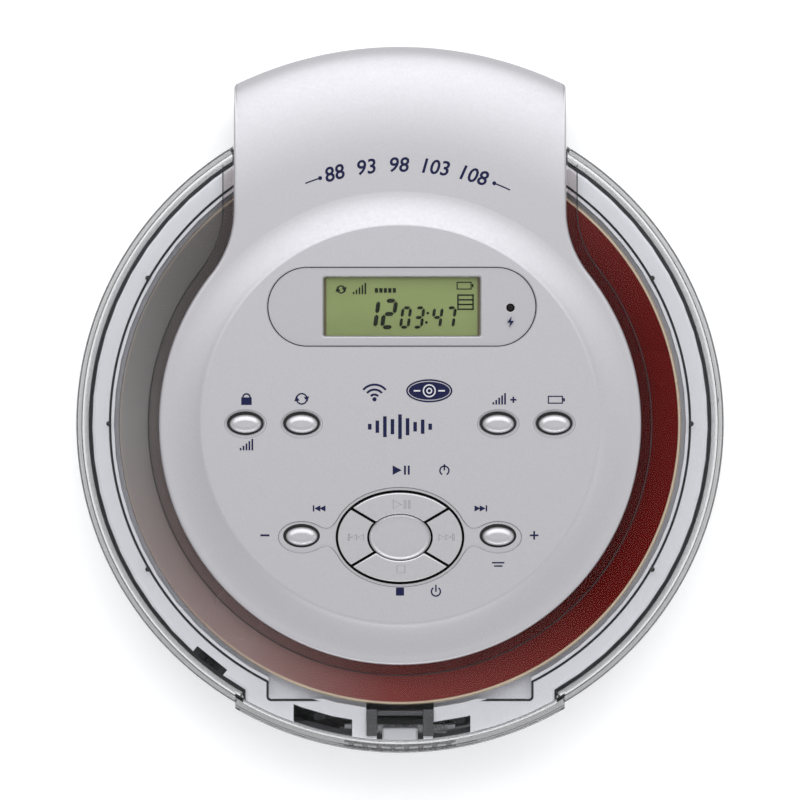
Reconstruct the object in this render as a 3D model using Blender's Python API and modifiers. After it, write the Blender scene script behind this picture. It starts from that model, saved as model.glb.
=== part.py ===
"""Portable CD player with a hinged lid, modelled as an assembly of separate pieces.

Metres, +Z up. The player rests on its feet, front towards -Y and hinge towards +Y.
Plan positions are counted from the disc spindle; SPINDLE_Y places the spindle so that
the origin lies under the centre of the player's bounding box.
"""

import math

import bmesh
import bpy
from mathutils import Matrix, Vector

# General values
CLEARANCE = 0.0003
RUNNING_GAP = 0.0005
OVERRUN = 0.002
MERGE_DISTANCE = 0.000002
FLAT_ANGLE = math.radians(0.5)
RIM_ANGLE = math.radians(50.0)
SMOOTH_ANGLE = math.radians(32.0)
ARC_STEP = math.radians(6.0)
TURNED_STEPS = 56
HALF_STEPS = 28
SMALL_STEPS = 16
PIN_STEPS = 12
FINE_STEPS = 8
QUARTER = math.pi / 2
DECIMALS = 9

# Outline of the player in plan, which grows from the disc
DISC_RADIUS = 0.0600
WELL_MARGIN = 0.0010
WELL_BORDER = 0.0048
RING_MARGIN = 0.0032
LIP_PROUD = 0.0010
KNOB_PROUD = 0.0004
TONGUE_PROUD = 0.0115
WELL_RADIUS = DISC_RADIUS + WELL_MARGIN
RAISED_RADIUS = WELL_RADIUS + WELL_BORDER
RING_RADIUS = RAISED_RADIUS + RING_MARGIN
LIP_RADIUS = RING_RADIUS + LIP_PROUD
LIP_HALF = 0.0350
LIP_CORNER = 0.0008
KNOB_REACH = LIP_RADIUS + KNOB_PROUD
TONGUE_HALF = 0.0353
TONGUE_REAR = RING_RADIUS + TONGUE_PROUD
TONGUE_CORNER = 0.0012
COVER_RADIUS = 0.0512
COVER_FILLET = 0.0220
BASE_INSET = 0.0004
BASE_FILLET = 0.0020
BASE_CORNER = 0.0030
SPINDLE_Y = (KNOB_REACH - TONGUE_REAR) / 2

# Heights of the base
FOOT_PROUD = 0.0008
FLOOR_WALL = 0.0016
CASE_HEIGHT = 0.0145
DECK_WALL = 0.0013
DECK_SKIN = 0.0014
DECK_RISE = 0.0051
WELL_DEPTH = 0.0034
WELL_FLOOR_WALL = 0.0012
CASE_BOTTOM = FOOT_PROUD
CASE_INSIDE = CASE_BOTTOM + FLOOR_WALL
CASE_RIM = CASE_BOTTOM + CASE_HEIGHT
FLANGE_BOTTOM = CASE_RIM + CLEARANCE
FLANGE_TOP = FLANGE_BOTTOM + DECK_WALL
DECK_TOP = FLANGE_TOP + DECK_RISE
DECK_UNDER = DECK_TOP - DECK_SKIN
WELL_FLOOR = DECK_TOP - WELL_DEPTH
WELL_UNDER = WELL_FLOOR - WELL_FLOOR_WALL

# Heights of the lid
LID_HEADROOM = 0.0014
RING_PLATE = 0.0018
COVER_WALL = 0.0013
MESA_RISE = 0.0017
KEY_PROUD = 0.0008
LINER_WALL = 0.0008
LINER_POST_HEIGHT = 0.0005
LID_BOARD_WALL = 0.0008
LID_BOTTOM = FLANGE_TOP + CLEARANCE
RING_UNDER = DECK_TOP + LID_HEADROOM
RING_TOP = RING_UNDER + RING_PLATE
BAND_UNDER = RING_TOP + CLEARANCE
BAND_TOP = BAND_UNDER + COVER_WALL
MESA_TOP = BAND_TOP + MESA_RISE
MESA_UNDER = MESA_TOP - COVER_WALL
KEY_TOP = MESA_TOP + KEY_PROUD
LINER_TOP = RING_UNDER - CLEARANCE
LID_BOARD_BOTTOM = LINER_TOP + LINER_POST_HEIGHT + CLEARANCE
LID_BOARD_TOP = LID_BOARD_BOTTOM + LID_BOARD_WALL

# Hinge
HINGE_INSET = 0.0075
HINGE_Y = TONGUE_REAR - HINGE_INSET
HINGE_Z = 0.0203
HINGE_PIN_RADIUS = 0.0010
KNUCKLE_RADIUS = 0.0024
KNUCKLE_INNER = 0.0065
KNUCKLE_WIDTH = 0.0030
LUG_WIDTH = 0.0026
CHANNEL_MARGIN = 0.0004
CHANNEL_WALL = 0.0013
CHANNEL_POINTS = 6
CHANNEL_STEPS = 24
ARM_TOP_SHARE = 0.1
ARM_BOTTOM_SHARE = 0.9
ARM_ROOT = 0.0088

# Bottom case
CASE_WALL = 0.0017
CASE_ROUNDING = 0.0026
POST_RADIUS = 0.0030
POST_BORE = 0.0012
SCREW_HEAD_RADIUS = 0.0026
SCREW_HEAD_DEPTH = 0.0012
POST_REAR_Y = 0.0300
POST_SIDE_INSET = 0.0220
POST_LEFT_INSET = 0.0250
POST_LEFT_FRONT_INSET = 0.0350
POST_RIGHT_X = 0.0280
POST_RIGHT_FRONT_INSET = 0.0305
POST_PLACES = (
    (RING_RADIUS - POST_SIDE_INSET, POST_REAR_Y),
    (POST_SIDE_INSET - RING_RADIUS, POST_REAR_Y),
    (POST_LEFT_INSET - RING_RADIUS, POST_LEFT_FRONT_INSET - RING_RADIUS),
    (POST_RIGHT_X, POST_RIGHT_FRONT_INSET - RING_RADIUS),
)

# Battery bay and its door, for two penlight cells side by side
BAY_HALF = 0.0260
BAY_FRONT = 0.0220
BAY_REAR = 0.0520
BAY_WALL = 0.0012
DOOR_SIDE_LAP = 0.0010
DOOR_FRONT_LAP = 0.0011
DOOR_HALF = BAY_HALF + DOOR_SIDE_LAP
DOOR_FRONT = BAY_FRONT - DOOR_FRONT_LAP
DOOR_WALL = 0.0016
DOOR_GROOVES = 5
DOOR_GROOVE_PITCH = 0.0016
DOOR_GROOVE_WIDTH = 0.0007
DOOR_GROOVE_DEPTH = 0.0005
DOOR_GROOVE_HALF = 0.0090
DOOR_GROOVE_INSET = 0.0060
DOOR_GROOVE_PLACE = BAY_REAR + DOOR_GROOVE_INSET
CONTACT_WALL = 0.0004
CONTACT_HALF = 0.0050
CONTACT_HEIGHT = 0.0100
CONTACT_DIMPLE = 0.0008
CONTACT_DIMPLE_RADIUS = 0.0020
CELL_RADIUS = 0.00725
COIL_LARGE_RADIUS = 0.0042
COIL_SMALL_RADIUS = 0.0024
COIL_LENGTH = 0.0048
COIL_TURNS = 3
COIL_POINTS = 8
COIL_WIRE = 0.0003

# Feet
FOOT_RADIUS = 0.0045
FOOT_HEIGHT = 0.0011
FOOT_ROUNDING = 0.0003
FOOT_INSET = 0.0110
FOOT_RING = RING_RADIUS - FOOT_INSET
FOOT_FRONT_ANGLE = math.radians(40.0)
FOOT_REAR_ANGLE = math.radians(68.0)

# Deck and disc well
RAISED_TONGUE_INSET = 0.0021
RAISED_REAR_INSET = 0.0030
RAISED_TONGUE_HALF = TONGUE_HALF - RAISED_TONGUE_INSET
RAISED_REAR = TONGUE_REAR - RAISED_REAR_INSET
RAISED_ROUNDING = 0.0007
WELL_WALL = 0.0014
NOTCH_HALF = 0.0280
NOTCH_INSET = 0.0023
NOTCH_DEPTH = 0.0137
NOTCH_CORNER = 0.0010
NOTCH_CHORD = WELL_RADIUS - NOTCH_INSET
NOTCH_BACK = NOTCH_CHORD - NOTCH_DEPTH
KEYHOLE_MARGIN = 0.0020
KEYHOLE_HALF = 0.0090
KEYHOLE_REACH = WELL_RADIUS - WELL_MARGIN
SLOT_INSET = 0.0018
SLOT_INNER = RAISED_RADIUS - SLOT_INSET
HOOK_SLOT_LEFT = -0.0227
HOOK_SLOT_LEFT_LENGTH = 0.0125
HOOK_SLOT_RIGHT = 0.0070
HOOK_SLOT_RIGHT_LENGTH = 0.0080
HOOK_SLOTS = (
    (HOOK_SLOT_LEFT, HOOK_SLOT_LEFT + HOOK_SLOT_LEFT_LENGTH),
    (HOOK_SLOT_RIGHT, HOOK_SLOT_RIGHT + HOOK_SLOT_RIGHT_LENGTH),
)
TAB_ANGLE = math.radians(38.7)
TAB_SLOT_WIDTH = 0.0082
RECESS_HALF = 0.0072
RECESS_LIP = 0.0006
RECESS_SHOULDER = SLOT_INNER - RECESS_LIP
RECESS_NARROW_HALF = 0.0050

# Disc and spindle
DISC_HOLE = 0.0075
DISC_WALL = 0.0012
DISC_GAP = 0.0016
HUB_PLATE_RADIUS = 0.0160
KEYHOLE_RADIUS = HUB_PLATE_RADIUS + KEYHOLE_MARGIN
HUB_PLATE_WALL = 0.0010
HUB_BOSS_PROUD = 0.0014
HUB_BOSS_TAPER = 0.0010
HUB_NECK_RADIUS = 0.0035
HUB_NECK_LENGTH = 0.0045
SHAFT_RADIUS = 0.0010
SPINDLE_MOTOR_RADIUS = 0.0120
SPINDLE_MOTOR_STEP = 0.0012

# Pickup chassis
CHASSIS_BOTTOM = 0.0110
CHASSIS_WALL = 0.0014
CHASSIS_INSET = 0.0040
CHASSIS_LEFT = RING_RADIUS - CHASSIS_INSET
CHASSIS_RIGHT = 0.0200
CHASSIS_HALF = 0.0200
CHASSIS_NOSE_HALF = 0.0110
CHASSIS_NOSE_LENGTH = 0.0060
CHASSIS_SLOT_HALF = 0.0129
CHASSIS_SLOT_MARGIN = 0.0019
CHASSIS_SLOT_LEFT = CHASSIS_LEFT - CHASSIS_SLOT_MARGIN
CHASSIS_SLOT_RIGHT = 0.0130
DAMPER_RADIUS = 0.0040
DAMPER_HEIGHT = 0.0016
DAMPER_WAIST = 0.0005
DAMPER_POST_RADIUS = 0.0026
DAMPER_INSET = 0.0050
DAMPER_SIDE_INSET = 0.0045
DAMPER_LEFT_INSET = 0.0150
DAMPER_LEFT_SIDE_INSET = 0.0035
DAMPER_PLACES = (
    (CHASSIS_RIGHT - DAMPER_INSET, DAMPER_SIDE_INSET - CHASSIS_HALF),
    (CHASSIS_RIGHT - DAMPER_INSET, CHASSIS_HALF - DAMPER_SIDE_INSET),
    (DAMPER_LEFT_INSET - CHASSIS_LEFT, CHASSIS_HALF - DAMPER_LEFT_SIDE_INSET),
)
ROD_RADIUS = 0.0012
ROD_SPACING = 0.0160
ROD_END_INSET = 0.0005
ROD_RIGHT_LAP = 0.0015
ROD_LEFT = CHASSIS_LEFT - ROD_END_INSET
ROD_RIGHT = CHASSIS_SLOT_RIGHT - ROD_RIGHT_LAP

# Pickup sled and its drive
SLED_LEFT = 0.0305
SLED_RIGHT = 0.0135
SLED_HALF = 0.0102
SLED_BOTTOM = 0.0111
SLED_TOP = 0.0165
SLED_ROUNDING = 0.0006
LENS_PLACE = 0.0240
LENS_RADIUS = 0.0035
LENS_FRAME_HALF = 0.0052
LENS_FRAME_HEIGHT = 0.0006
LENS_HEIGHT = 0.0014
GEAR_MODULE = 0.0008
PINION_TEETH = 10
WHEEL_TEETH = 25
TOOTH_TIP = 0.0006
TOOTH_ROOT = 0.0010
TOOTH_TIP_SHARE = 0.10
TOOTH_ROOT_SHARE = 0.24
RACK_TEETH = 15
RACK_BACK = 0.0010
RACK_BOTTOM = 0.0132
RACK_TOP = FLANGE_BOTTOM - 2 * CLEARANCE
DRIVE_GEAR_X = -0.0300
DRIVE_WHEEL_BOTTOM = 0.0092
DRIVE_WHEEL_TOP = 0.0106
DRIVE_SHAFT_RADIUS = 0.0020
DRIVE_PIN_RADIUS = 0.0009
MOTOR_PINION_ANGLE = math.radians(-62.0)
MOTOR_PINION_HEIGHT = 0.0030
SLED_MOTOR_RADIUS = 0.0080
SLED_MOTOR_TOP = 0.0082
SLED_MOTOR_STEP = 0.0008

# Main board, sockets and volume wheel
BOARD_INSET = 0.0070
BOARD_FRONT_INSET = 0.0040
BOARD_RADIUS = RING_RADIUS - BOARD_INSET
BOARD_FRONT_RADIUS = BOARD_RADIUS - BOARD_FRONT_INSET
BOARD_STEP_ANGLE = math.radians(32.0)
BOARD_BOTTOM = 0.0041
BOARD_WALL = 0.0015
BOARD_LEFT = -0.0120
BOARD_REAR = 0.0150
BOARD_INNER_Y = -0.0210
BOARD_INNER_X = 0.0270
BOARD_HOLE = 0.0036
BOARD_POST_X = 0.0100
BOARD_POST_FRONT_INSET = 0.0100
BOARD_POST_SIDE_INSET = 0.0140
BOARD_POST_SIDE_Y = -0.0300
BOARD_POST_REAR_INSET = 0.0160
BOARD_POST_REAR_Y = 0.0080
BOARD_POST_PLACES = (
    (BOARD_POST_X, BOARD_POST_FRONT_INSET - BOARD_FRONT_RADIUS),
    (BOARD_RADIUS - BOARD_POST_SIDE_INSET, BOARD_POST_SIDE_Y),
    (BOARD_RADIUS - BOARD_POST_REAR_INSET, BOARD_POST_REAR_Y),
)
CHIP_HEIGHT = 0.0016
CHIPS = (
    (0.0100, -0.0330, 0.0120, 0.0120),
    (0.0420, -0.0180, 0.0090, 0.0140),
    (0.0220, -0.0300, 0.0060, 0.0050),
)
VOLUME_Y = 0.0040
VOLUME_RADIUS = 0.0090
VOLUME_X = RING_RADIUS - VOLUME_RADIUS
VOLUME_WALL = 0.0030
VOLUME_BOTTOM = 0.0080
VOLUME_RIBS = 18
VOLUME_RIB_DEPTH = 0.0004
VOLUME_POT_RADIUS = 0.0042
VOLUME_SHAFT_RADIUS = 0.0015
PHONES_Y = -0.0120
PHONES_Z = 0.0092
PHONES_HALF = 0.0040
PHONES_LENGTH = 0.0130
PHONES_BARREL = 0.0031
PHONES_BORE = 0.0018
PHONES_BORE_DEPTH = 0.0120
POWER_Y = 0.0640
POWER_Z = 0.0086
POWER_HALF = 0.0040
POWER_LENGTH = 0.0090
POWER_BARREL = 0.0034
POWER_BORE = 0.0027
POWER_BORE_DEPTH = 0.0080
POWER_PIN_RADIUS = 0.0007

# Latch
LATCH_TRAVEL = 0.0032
LATCH_BAR_LAP = 0.0004
LATCH_BAR_INNER = SLOT_INNER - LATCH_BAR_LAP
LATCH_BAR_WIDTH = 0.0011
LATCH_BAR_LEFT = -0.0173
LATCH_BAR_RIGHT = 0.0140
LATCH_BAR_HEIGHT = 0.0021
CATCH_WIDTH = 0.0016
CATCH_BITE = 0.0011
CATCH_HEIGHT = 0.0012
CATCH_LIFT = 0.0016
CATCH_DEPTH = 0.0017
HOOK_WIDTH = 0.0027
HOOK_NOSE = 0.0010
HOOK_NOSE_HEIGHT = 0.0010
HOOK_DEPTH = 0.0020
KNOB_HALF = 0.0120
KNOB_BOTTOM = 0.0082
KNOB_HEIGHT = 0.0064
KNOB_RECESS = 0.0008
KNOB_STEM_HALF = 0.0100
KNOB_RIBS = 8
KNOB_RIB_WIDTH = 0.0012
KNOB_LAP = 0.0004
KNOB_INNER = LATCH_BAR_INNER - KNOB_LAP
KNOB_INNER_WIDTH = 0.0011
KNOB_WINDOW_GAP = 0.0010
SPRING_ARM_WIDTH = 0.0014
SPRING_ARM_REACH = 0.0050
SPRING_Z = 0.0120
SPRING_LENGTH = 0.0072
SPRING_RADIUS = 0.0014
SPRING_WIRE = 0.0003
SPRING_TURNS = 4
SPRING_STOP_WIDTH = 0.0024
GUIDE_HALF = 0.0038
GUIDE_DEPTH = 0.0028
GUIDE_HEIGHT = 0.0040
GUIDE_ROUNDING = 0.0004
SWITCH_WIDTH = 0.0070
SWITCH_DEPTH = 0.0028
SWITCH_BUTTON_RADIUS = 0.0009
SWITCH_BUTTON_PROUD = 0.0034
TAB_WIDTH = 0.0050
TAB_DEPTH = 0.0012
SWITCH_RING = SLOT_INNER + CLEARANCE + TAB_DEPTH / 2

# Lid ring and cover
RING_LAP = 0.0052
RING_INNER = COVER_RADIUS - RING_LAP
RING_WALL = 0.0016
RING_SHOULDER = 0.0024
RING_INNER_SHOULDER = 0.0012
RING_CUT_INSET = 0.0080
RING_CUT_Y = RING_INNER - RING_CUT_INSET
SHOULDER_POINTS = 3
MESA_INSET = 0.0088
MESA_RADIUS = COVER_RADIUS - MESA_INSET
FLARE_WIDTH = 0.0051
FLARE_POINTS = 3
COVER_INSIDE_STEPS = 40
REAR_LENGTH = 0.0225
REAR_START = TONGUE_REAR - REAR_LENGTH
REAR_SHOULDER = 0.0200
REAR_POINTS = 5
TONGUE_WALL = 0.0015
LINER_INSET = 0.0007
LINER_RADIUS = COVER_RADIUS - LINER_INSET
LINER_HOLE = 0.0090
LID_BOARD_INSET = 0.0072
LID_BOARD_RADIUS = COVER_RADIUS - LID_BOARD_INSET
LINER_POST_RADIUS = 0.0025
LINER_POST_INSET = 0.0090
LINER_POST_RING = LID_BOARD_RADIUS - LINER_POST_INSET
LINER_POSTS = 4

# Display
PANEL_X = 0.0004
PANEL_Y = 0.0248
PANEL_LENGTH = 0.0567
PANEL_WIDTH = 0.0166
PANEL_RECESS = 0.0005
PANEL_WALL = 0.0012
MODULE_LENGTH = 0.0370
MODULE_WIDTH = 0.0140
LAMP_X = 0.0234
LAMP_Y = 0.0246
LAMP_RADIUS = 0.0008
LAMP_HOLE = 0.0012
LAMP_SINK = 0.0003

# Keys
KEY_TRAVEL = 0.0006
KEY_LENGTH = 0.0067
KEY_WIDTH = 0.0039
KEY_HOLE_MARGIN = 0.00055
KEY_CHAMFER = 0.00055
KEY_FLANGE = 0.0012
KEY_FLANGE_WALL = 0.0008
FLANGE_SHARE = 0.1
KEY_DOME = 0.0007
KEY_PLUNGER_RADIUS = 0.0015
KEY_ROW_INNER = 0.0208
KEY_ROW_OUTER = 0.0327
KEY_LOWER_Y = -0.0238
PAD_Y = -0.0240
PAD_LENGTH = 0.0264
PAD_WIDTH = 0.0191
PAD_CENTRE_LENGTH = 0.0131
PAD_CENTRE_WIDTH = 0.0097
PAD_SPLIT = math.radians(30.5)
PAD_GAP = 0.0006
PAD_HOLE_GAP = 0.0004
PAD_SINK = 0.0003
PAD_STEPS = 5
RIBBON_WALL = 0.0002
RIBBON_HALF = 0.0030
RIBBON_X = -0.0220
RIBBON_CURL = 0.0014
RIBBON_CURL_POINTS = 8
RIBBON_START = 0.0330

# Colours, linear
SILVER = (0.56, 0.56, 0.60)
CASE_GREY = (0.34, 0.34, 0.37)
DECK_GREY = (0.62, 0.62, 0.65)
CLEAR = (0.80, 0.82, 0.84)
BRIGHT = (0.78, 0.78, 0.80)
STEEL = (0.45, 0.45, 0.46)
RUBBER = (0.02, 0.02, 0.02)
BOARD_GREEN = (0.02, 0.16, 0.06)
BLACK = (0.02, 0.02, 0.022)
IVORY = (0.70, 0.68, 0.60)
PANEL_TINT = (0.50, 0.50, 0.54)
LCD_GREEN = (0.27, 0.35, 0.11)
DISC_SILVER = (0.55, 0.30, 0.26)
LENS_BLUE = (0.10, 0.14, 0.40)

PLAYER = Vector((0, SPINDLE_Y, 0))


def clear_scene():
    """Remove the objects that the scene starts with."""
    for obj in list(bpy.data.objects):
        bpy.data.objects.remove(obj)


def new_collection(name):
    group = bpy.data.collections.new(name)
    bpy.context.scene.collection.children.link(group)
    return group


clear_scene()
PARTS = new_collection("portable_cd_player")
CUTTERS = new_collection("cutters")


def new_material(name, colour, roughness, metallic):
    """Principled material with one colour."""
    material = bpy.data.materials.new(name)
    material.use_nodes = True
    shader = material.node_tree.nodes["Principled BSDF"]
    shader.inputs["Base Color"].default_value = (*colour, 1)
    shader.inputs["Roughness"].default_value = roughness
    shader.inputs["Metallic"].default_value = metallic
    material.diffuse_color = (*colour, 1)
    return material


SILVER_PAINT = new_material("silver_paint", SILVER, 0.35, 0.6)
CASE_PLASTIC = new_material("case_plastic", CASE_GREY, 0.45, 0.0)
DECK_PLASTIC = new_material("deck_plastic", DECK_GREY, 0.40, 0.2)
CLEAR_PLASTIC = new_material("clear_plastic", CLEAR, 0.08, 0.0)
BRIGHT_PLASTIC = new_material("bright_plastic", BRIGHT, 0.25, 0.5)
STEEL_METAL = new_material("steel_metal", STEEL, 0.30, 1.0)
SPRING_METAL = new_material("spring_metal", BRIGHT, 0.25, 1.0)
RUBBER_BLACK = new_material("rubber_black", RUBBER, 0.80, 0.0)
BOARD_LAMINATE = new_material("board_laminate", BOARD_GREEN, 0.50, 0.0)
BLACK_PLASTIC = new_material("black_plastic", BLACK, 0.45, 0.0)
IVORY_PLASTIC = new_material("ivory_plastic", IVORY, 0.50, 0.0)
PANEL_PLASTIC = new_material("panel_plastic", PANEL_TINT, 0.20, 0.0)
LCD_GLASS = new_material("lcd_glass", LCD_GREEN, 0.30, 0.0)
DISC_FILM = new_material("disc_film", DISC_SILVER, 0.15, 0.9)
LENS_GLASS = new_material("lens_glass", LENS_BLUE, 0.05, 0.0)


# Outlines in plan

def arc(centre, radius, start, end, step=ARC_STEP):
    """Points along an arc from start to end, both ends included."""
    count = max(2, math.ceil(abs(end - start) / step - FLAT_ANGLE))
    points = []
    for i in range(count + 1):
        angle = start + (end - start) * i / count
        points.append((centre[0] + radius * math.cos(angle), centre[1] + radius * math.sin(angle)))
    return points


def on_grid(value):
    """A coordinate to the nearest nanometre, so that shared planes agree exactly."""
    return round(value, DECIMALS)


def joined(points):
    """The outline on the grid, without points that lie on the one before them."""
    kept = []
    for x, y in points:
        point = (on_grid(x), on_grid(y))
        if not kept or math.dist(point, kept[-1]) > MERGE_DISTANCE:
            kept.append(point)
    if math.dist(kept[0], kept[-1]) <= MERGE_DISTANCE:
        kept.pop()
    return kept


def mirrored(right):
    """Close a right-hand half outline, front to rear, with its mirror image."""
    return joined(right + [(-x, y) for x, y in reversed(right)])


def tongue_outline(radius, half, rear, fillet, corner):
    """Circle with a straight-sided tongue to the rear, filleted where they meet."""
    fillet_centre = (half + fillet, math.sqrt((radius + fillet) ** 2 - (half + fillet) ** 2))
    join = math.atan2(fillet_centre[1], fillet_centre[0])
    corner_centre = (half - corner, math.sqrt((rear - corner) ** 2 - (half - corner) ** 2))
    turn = math.atan2(corner_centre[1], corner_centre[0])
    right = arc((0, 0), radius, -QUARTER, join)
    right += arc(fillet_centre, fillet, math.pi + join, math.pi)
    right += arc(corner_centre, corner, 0, turn, QUARTER / 4)
    right += arc((0, 0), rear, turn, QUARTER)
    return mirrored(right)


def base_outline(inset):
    """Outline of the base, drawn in by inset."""
    return tongue_outline(
        RING_RADIUS - BASE_INSET - inset,
        TONGUE_HALF - BASE_INSET - inset,
        TONGUE_REAR - BASE_INSET - inset,
        BASE_FILLET + inset,
        BASE_CORNER - inset,
    )


def raised_outline(inset):
    """Outline of the deck's raised part, drawn in by inset."""
    return tongue_outline(
        RAISED_RADIUS - inset,
        RAISED_TONGUE_HALF - inset,
        RAISED_REAR - inset,
        BASE_FILLET + inset,
        BASE_CORNER - inset,
    )


def front_band(inner, outer, half):
    """Front piece of a round band, cut off straight at both sides."""
    outer_turn = math.asin(half / outer)
    inner_turn = math.asin(half / inner)
    points = arc((0, 0), outer, -QUARTER - outer_turn, -QUARTER + outer_turn)
    points += arc((0, 0), inner, -QUARTER + inner_turn, -QUARTER - inner_turn)
    return joined(points)


def rectangle(left, right, front, rear):
    return [(left, front), (right, front), (right, rear), (left, rear)]


def rounded_rectangle(half_x, half_y, corner):
    """Rectangle about its own centre with round corners."""
    x = half_x - corner
    y = half_y - corner
    points = []
    for i, centre in enumerate(((x, -y), (x, y), (-x, y), (-x, -y))):
        points += arc(centre, corner, (i - 1) * QUARTER, i * QUARTER, QUARTER / 3)
    return joined(points)


def stadium(length, width):
    """Long outline with half-round ends, about its own centre."""
    radius = width / 2
    reach = length / 2 - radius
    step = QUARTER / 3
    right = arc((reach, 0), radius, -QUARTER, QUARTER, step)
    left = arc((-reach, 0), radius, QUARTER, 3 * QUARTER, step)
    return joined(right + left)


def ellipse(length, width, count):
    points = []
    for i in range(count):
        angle = 4 * QUARTER * i / count
        points.append((math.cos(angle) * length / 2, math.sin(angle) * width / 2))
    return points


def moved(points, x, y):
    return [(px + x, py + y) for px, py in points]


def gear_outline(teeth, phase):
    """Spur gear with straight-sided teeth, one tooth centred on phase."""
    pitch_radius = teeth * GEAR_MODULE / 2
    step = 4 * QUARTER / teeth
    points = []
    for i in range(teeth):
        centre = phase + i * step
        for radius, turn in (
            (pitch_radius - TOOTH_ROOT, -TOOTH_ROOT_SHARE),
            (pitch_radius + TOOTH_TIP, -TOOTH_TIP_SHARE),
            (pitch_radius + TOOTH_TIP, TOOTH_TIP_SHARE),
            (pitch_radius - TOOTH_ROOT, TOOTH_ROOT_SHARE),
        ):
            angle = centre + turn * step
            points.append((radius * math.cos(angle), radius * math.sin(angle)))
    return points


# Solids

def new_object(name, mesh, place):
    """Object with a mesh, placed from the spindle."""
    obj = bpy.data.objects.new(name, mesh)
    obj.location = PLAYER + Vector(place)
    PARTS.objects.link(obj)
    return obj


def solid_from_bmesh(name, work, place):
    mesh = bpy.data.meshes.new(name)
    bmesh.ops.recalc_face_normals(work, faces=work.faces)
    work.to_mesh(mesh)
    work.free()
    return new_object(name, mesh, place)


def as_mesh(holder):
    """Turn a curve object into a mesh object with welded caps."""
    bpy.context.view_layer.update()
    depsgraph = bpy.context.evaluated_depsgraph_get()
    mesh = bpy.data.meshes.new_from_object(holder.evaluated_get(depsgraph))
    work = bmesh.new()
    work.from_mesh(mesh)
    bmesh.ops.remove_doubles(work, verts=work.verts, dist=MERGE_DISTANCE)
    bmesh.ops.dissolve_limit(work, angle_limit=FLAT_ANGLE, verts=work.verts, edges=work.edges)
    bmesh.ops.recalc_face_normals(work, faces=work.faces)
    work.to_mesh(mesh)
    work.free()
    name = holder.name
    matrix = holder.matrix_world.copy()
    bpy.data.objects.remove(holder)
    obj = bpy.data.objects.new(name, mesh)
    obj.matrix_world = matrix
    PARTS.objects.link(obj)
    return obj


def slab(name, outlines, bottom, top, place=(0, 0)):
    """Flat piece between two heights; outlines inside the first are holes."""
    curve = bpy.data.curves.new(name, 'CURVE')
    curve.dimensions = '2D'
    curve.fill_mode = 'BOTH'
    curve.extrude = (top - bottom) / 2
    for outline in outlines:
        spline = curve.splines.new('POLY')
        spline.points.add(len(outline) - 1)
        for point, (x, y) in zip(spline.points, outline):
            point.co = (on_grid(x), on_grid(y), 0, 1)
        spline.use_cyclic_u = True
    obj = as_mesh(new_object(name, curve, (*place, 0)))
    for vertex in obj.data.vertices:
        vertex.co.z = on_grid(top if vertex.co.z > 0 else bottom)
    return obj


def lofted(name, levels, place=(0, 0)):
    """Solid through outlines with equal point counts, given from the bottom up."""
    work = bmesh.new()
    rings = []
    for outline, height in levels:
        rings.append([work.verts.new((x, y, on_grid(height))) for x, y in outline])
    for lower, upper in zip(rings, rings[1:]):
        for i in range(len(lower)):
            work.faces.new((lower[i - 1], lower[i], upper[i], upper[i - 1]))
    work.faces.new(rings[0])
    work.faces.new(rings[-1])
    return solid_from_bmesh(name, work, (*place, 0))


def box(name, left, right, front, rear, bottom, top):
    """Box between six planes."""
    work = bmesh.new()
    bmesh.ops.create_cube(work)
    for vertex in work.verts:
        vertex.co.x = on_grid(right if vertex.co.x > 0 else left)
        vertex.co.y = on_grid(rear if vertex.co.y > 0 else front)
        vertex.co.z = on_grid(top if vertex.co.z > 0 else bottom)
    return solid_from_bmesh(name, work, (0, 0, 0))


def cylinder(name, radius, bottom, top, place, steps=SMALL_STEPS):
    """Upright cylinder."""
    work = bmesh.new()
    bmesh.ops.create_cone(
        work, cap_ends=True, segments=steps, radius1=radius, radius2=radius, depth=top - bottom
    )
    for vertex in work.verts:
        vertex.co.z = on_grid(top if vertex.co.z > 0 else bottom)
    return solid_from_bmesh(name, work, (*place, 0))


def cross_cylinder(name, radius, left, right, y, z, steps=SMALL_STEPS):
    """Cylinder along X between two places."""
    work = bmesh.new()
    bmesh.ops.create_cone(
        work, cap_ends=True, segments=steps, radius1=radius, radius2=radius, depth=right - left
    )
    turn = Matrix.Rotation(QUARTER, 3, 'Y')
    bmesh.ops.rotate(work, verts=work.verts, matrix=turn)
    for vertex in work.verts:
        vertex.co.x = on_grid(right if vertex.co.x > 0 else left)
    return solid_from_bmesh(name, work, (0, y, z))


def turned(name, section, closed, place=(0, 0), steps=TURNED_STEPS):
    """Solid of revolution about the vertical, from a section that runs down its outer side."""
    mesh = bpy.data.meshes.new(name)
    work = bmesh.new()
    corners = [work.verts.new((on_grid(x), 0, on_grid(z))) for x, z in section]
    for first, second in zip(corners, corners[1:]):
        work.edges.new((first, second))
    if closed:
        work.edges.new((corners[-1], corners[0]))
    work.to_mesh(mesh)
    work.free()
    obj = new_object(name, mesh, (place[0], place[1], 0))
    screw = obj.modifiers.new("turn", 'SCREW')
    screw.axis = 'Z'
    screw.angle = 4 * QUARTER
    screw.steps = steps
    screw.render_steps = steps
    screw.use_merge_vertices = True
    screw.merge_threshold = MERGE_DISTANCE
    screw.use_smooth_shade = True
    return obj


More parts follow.
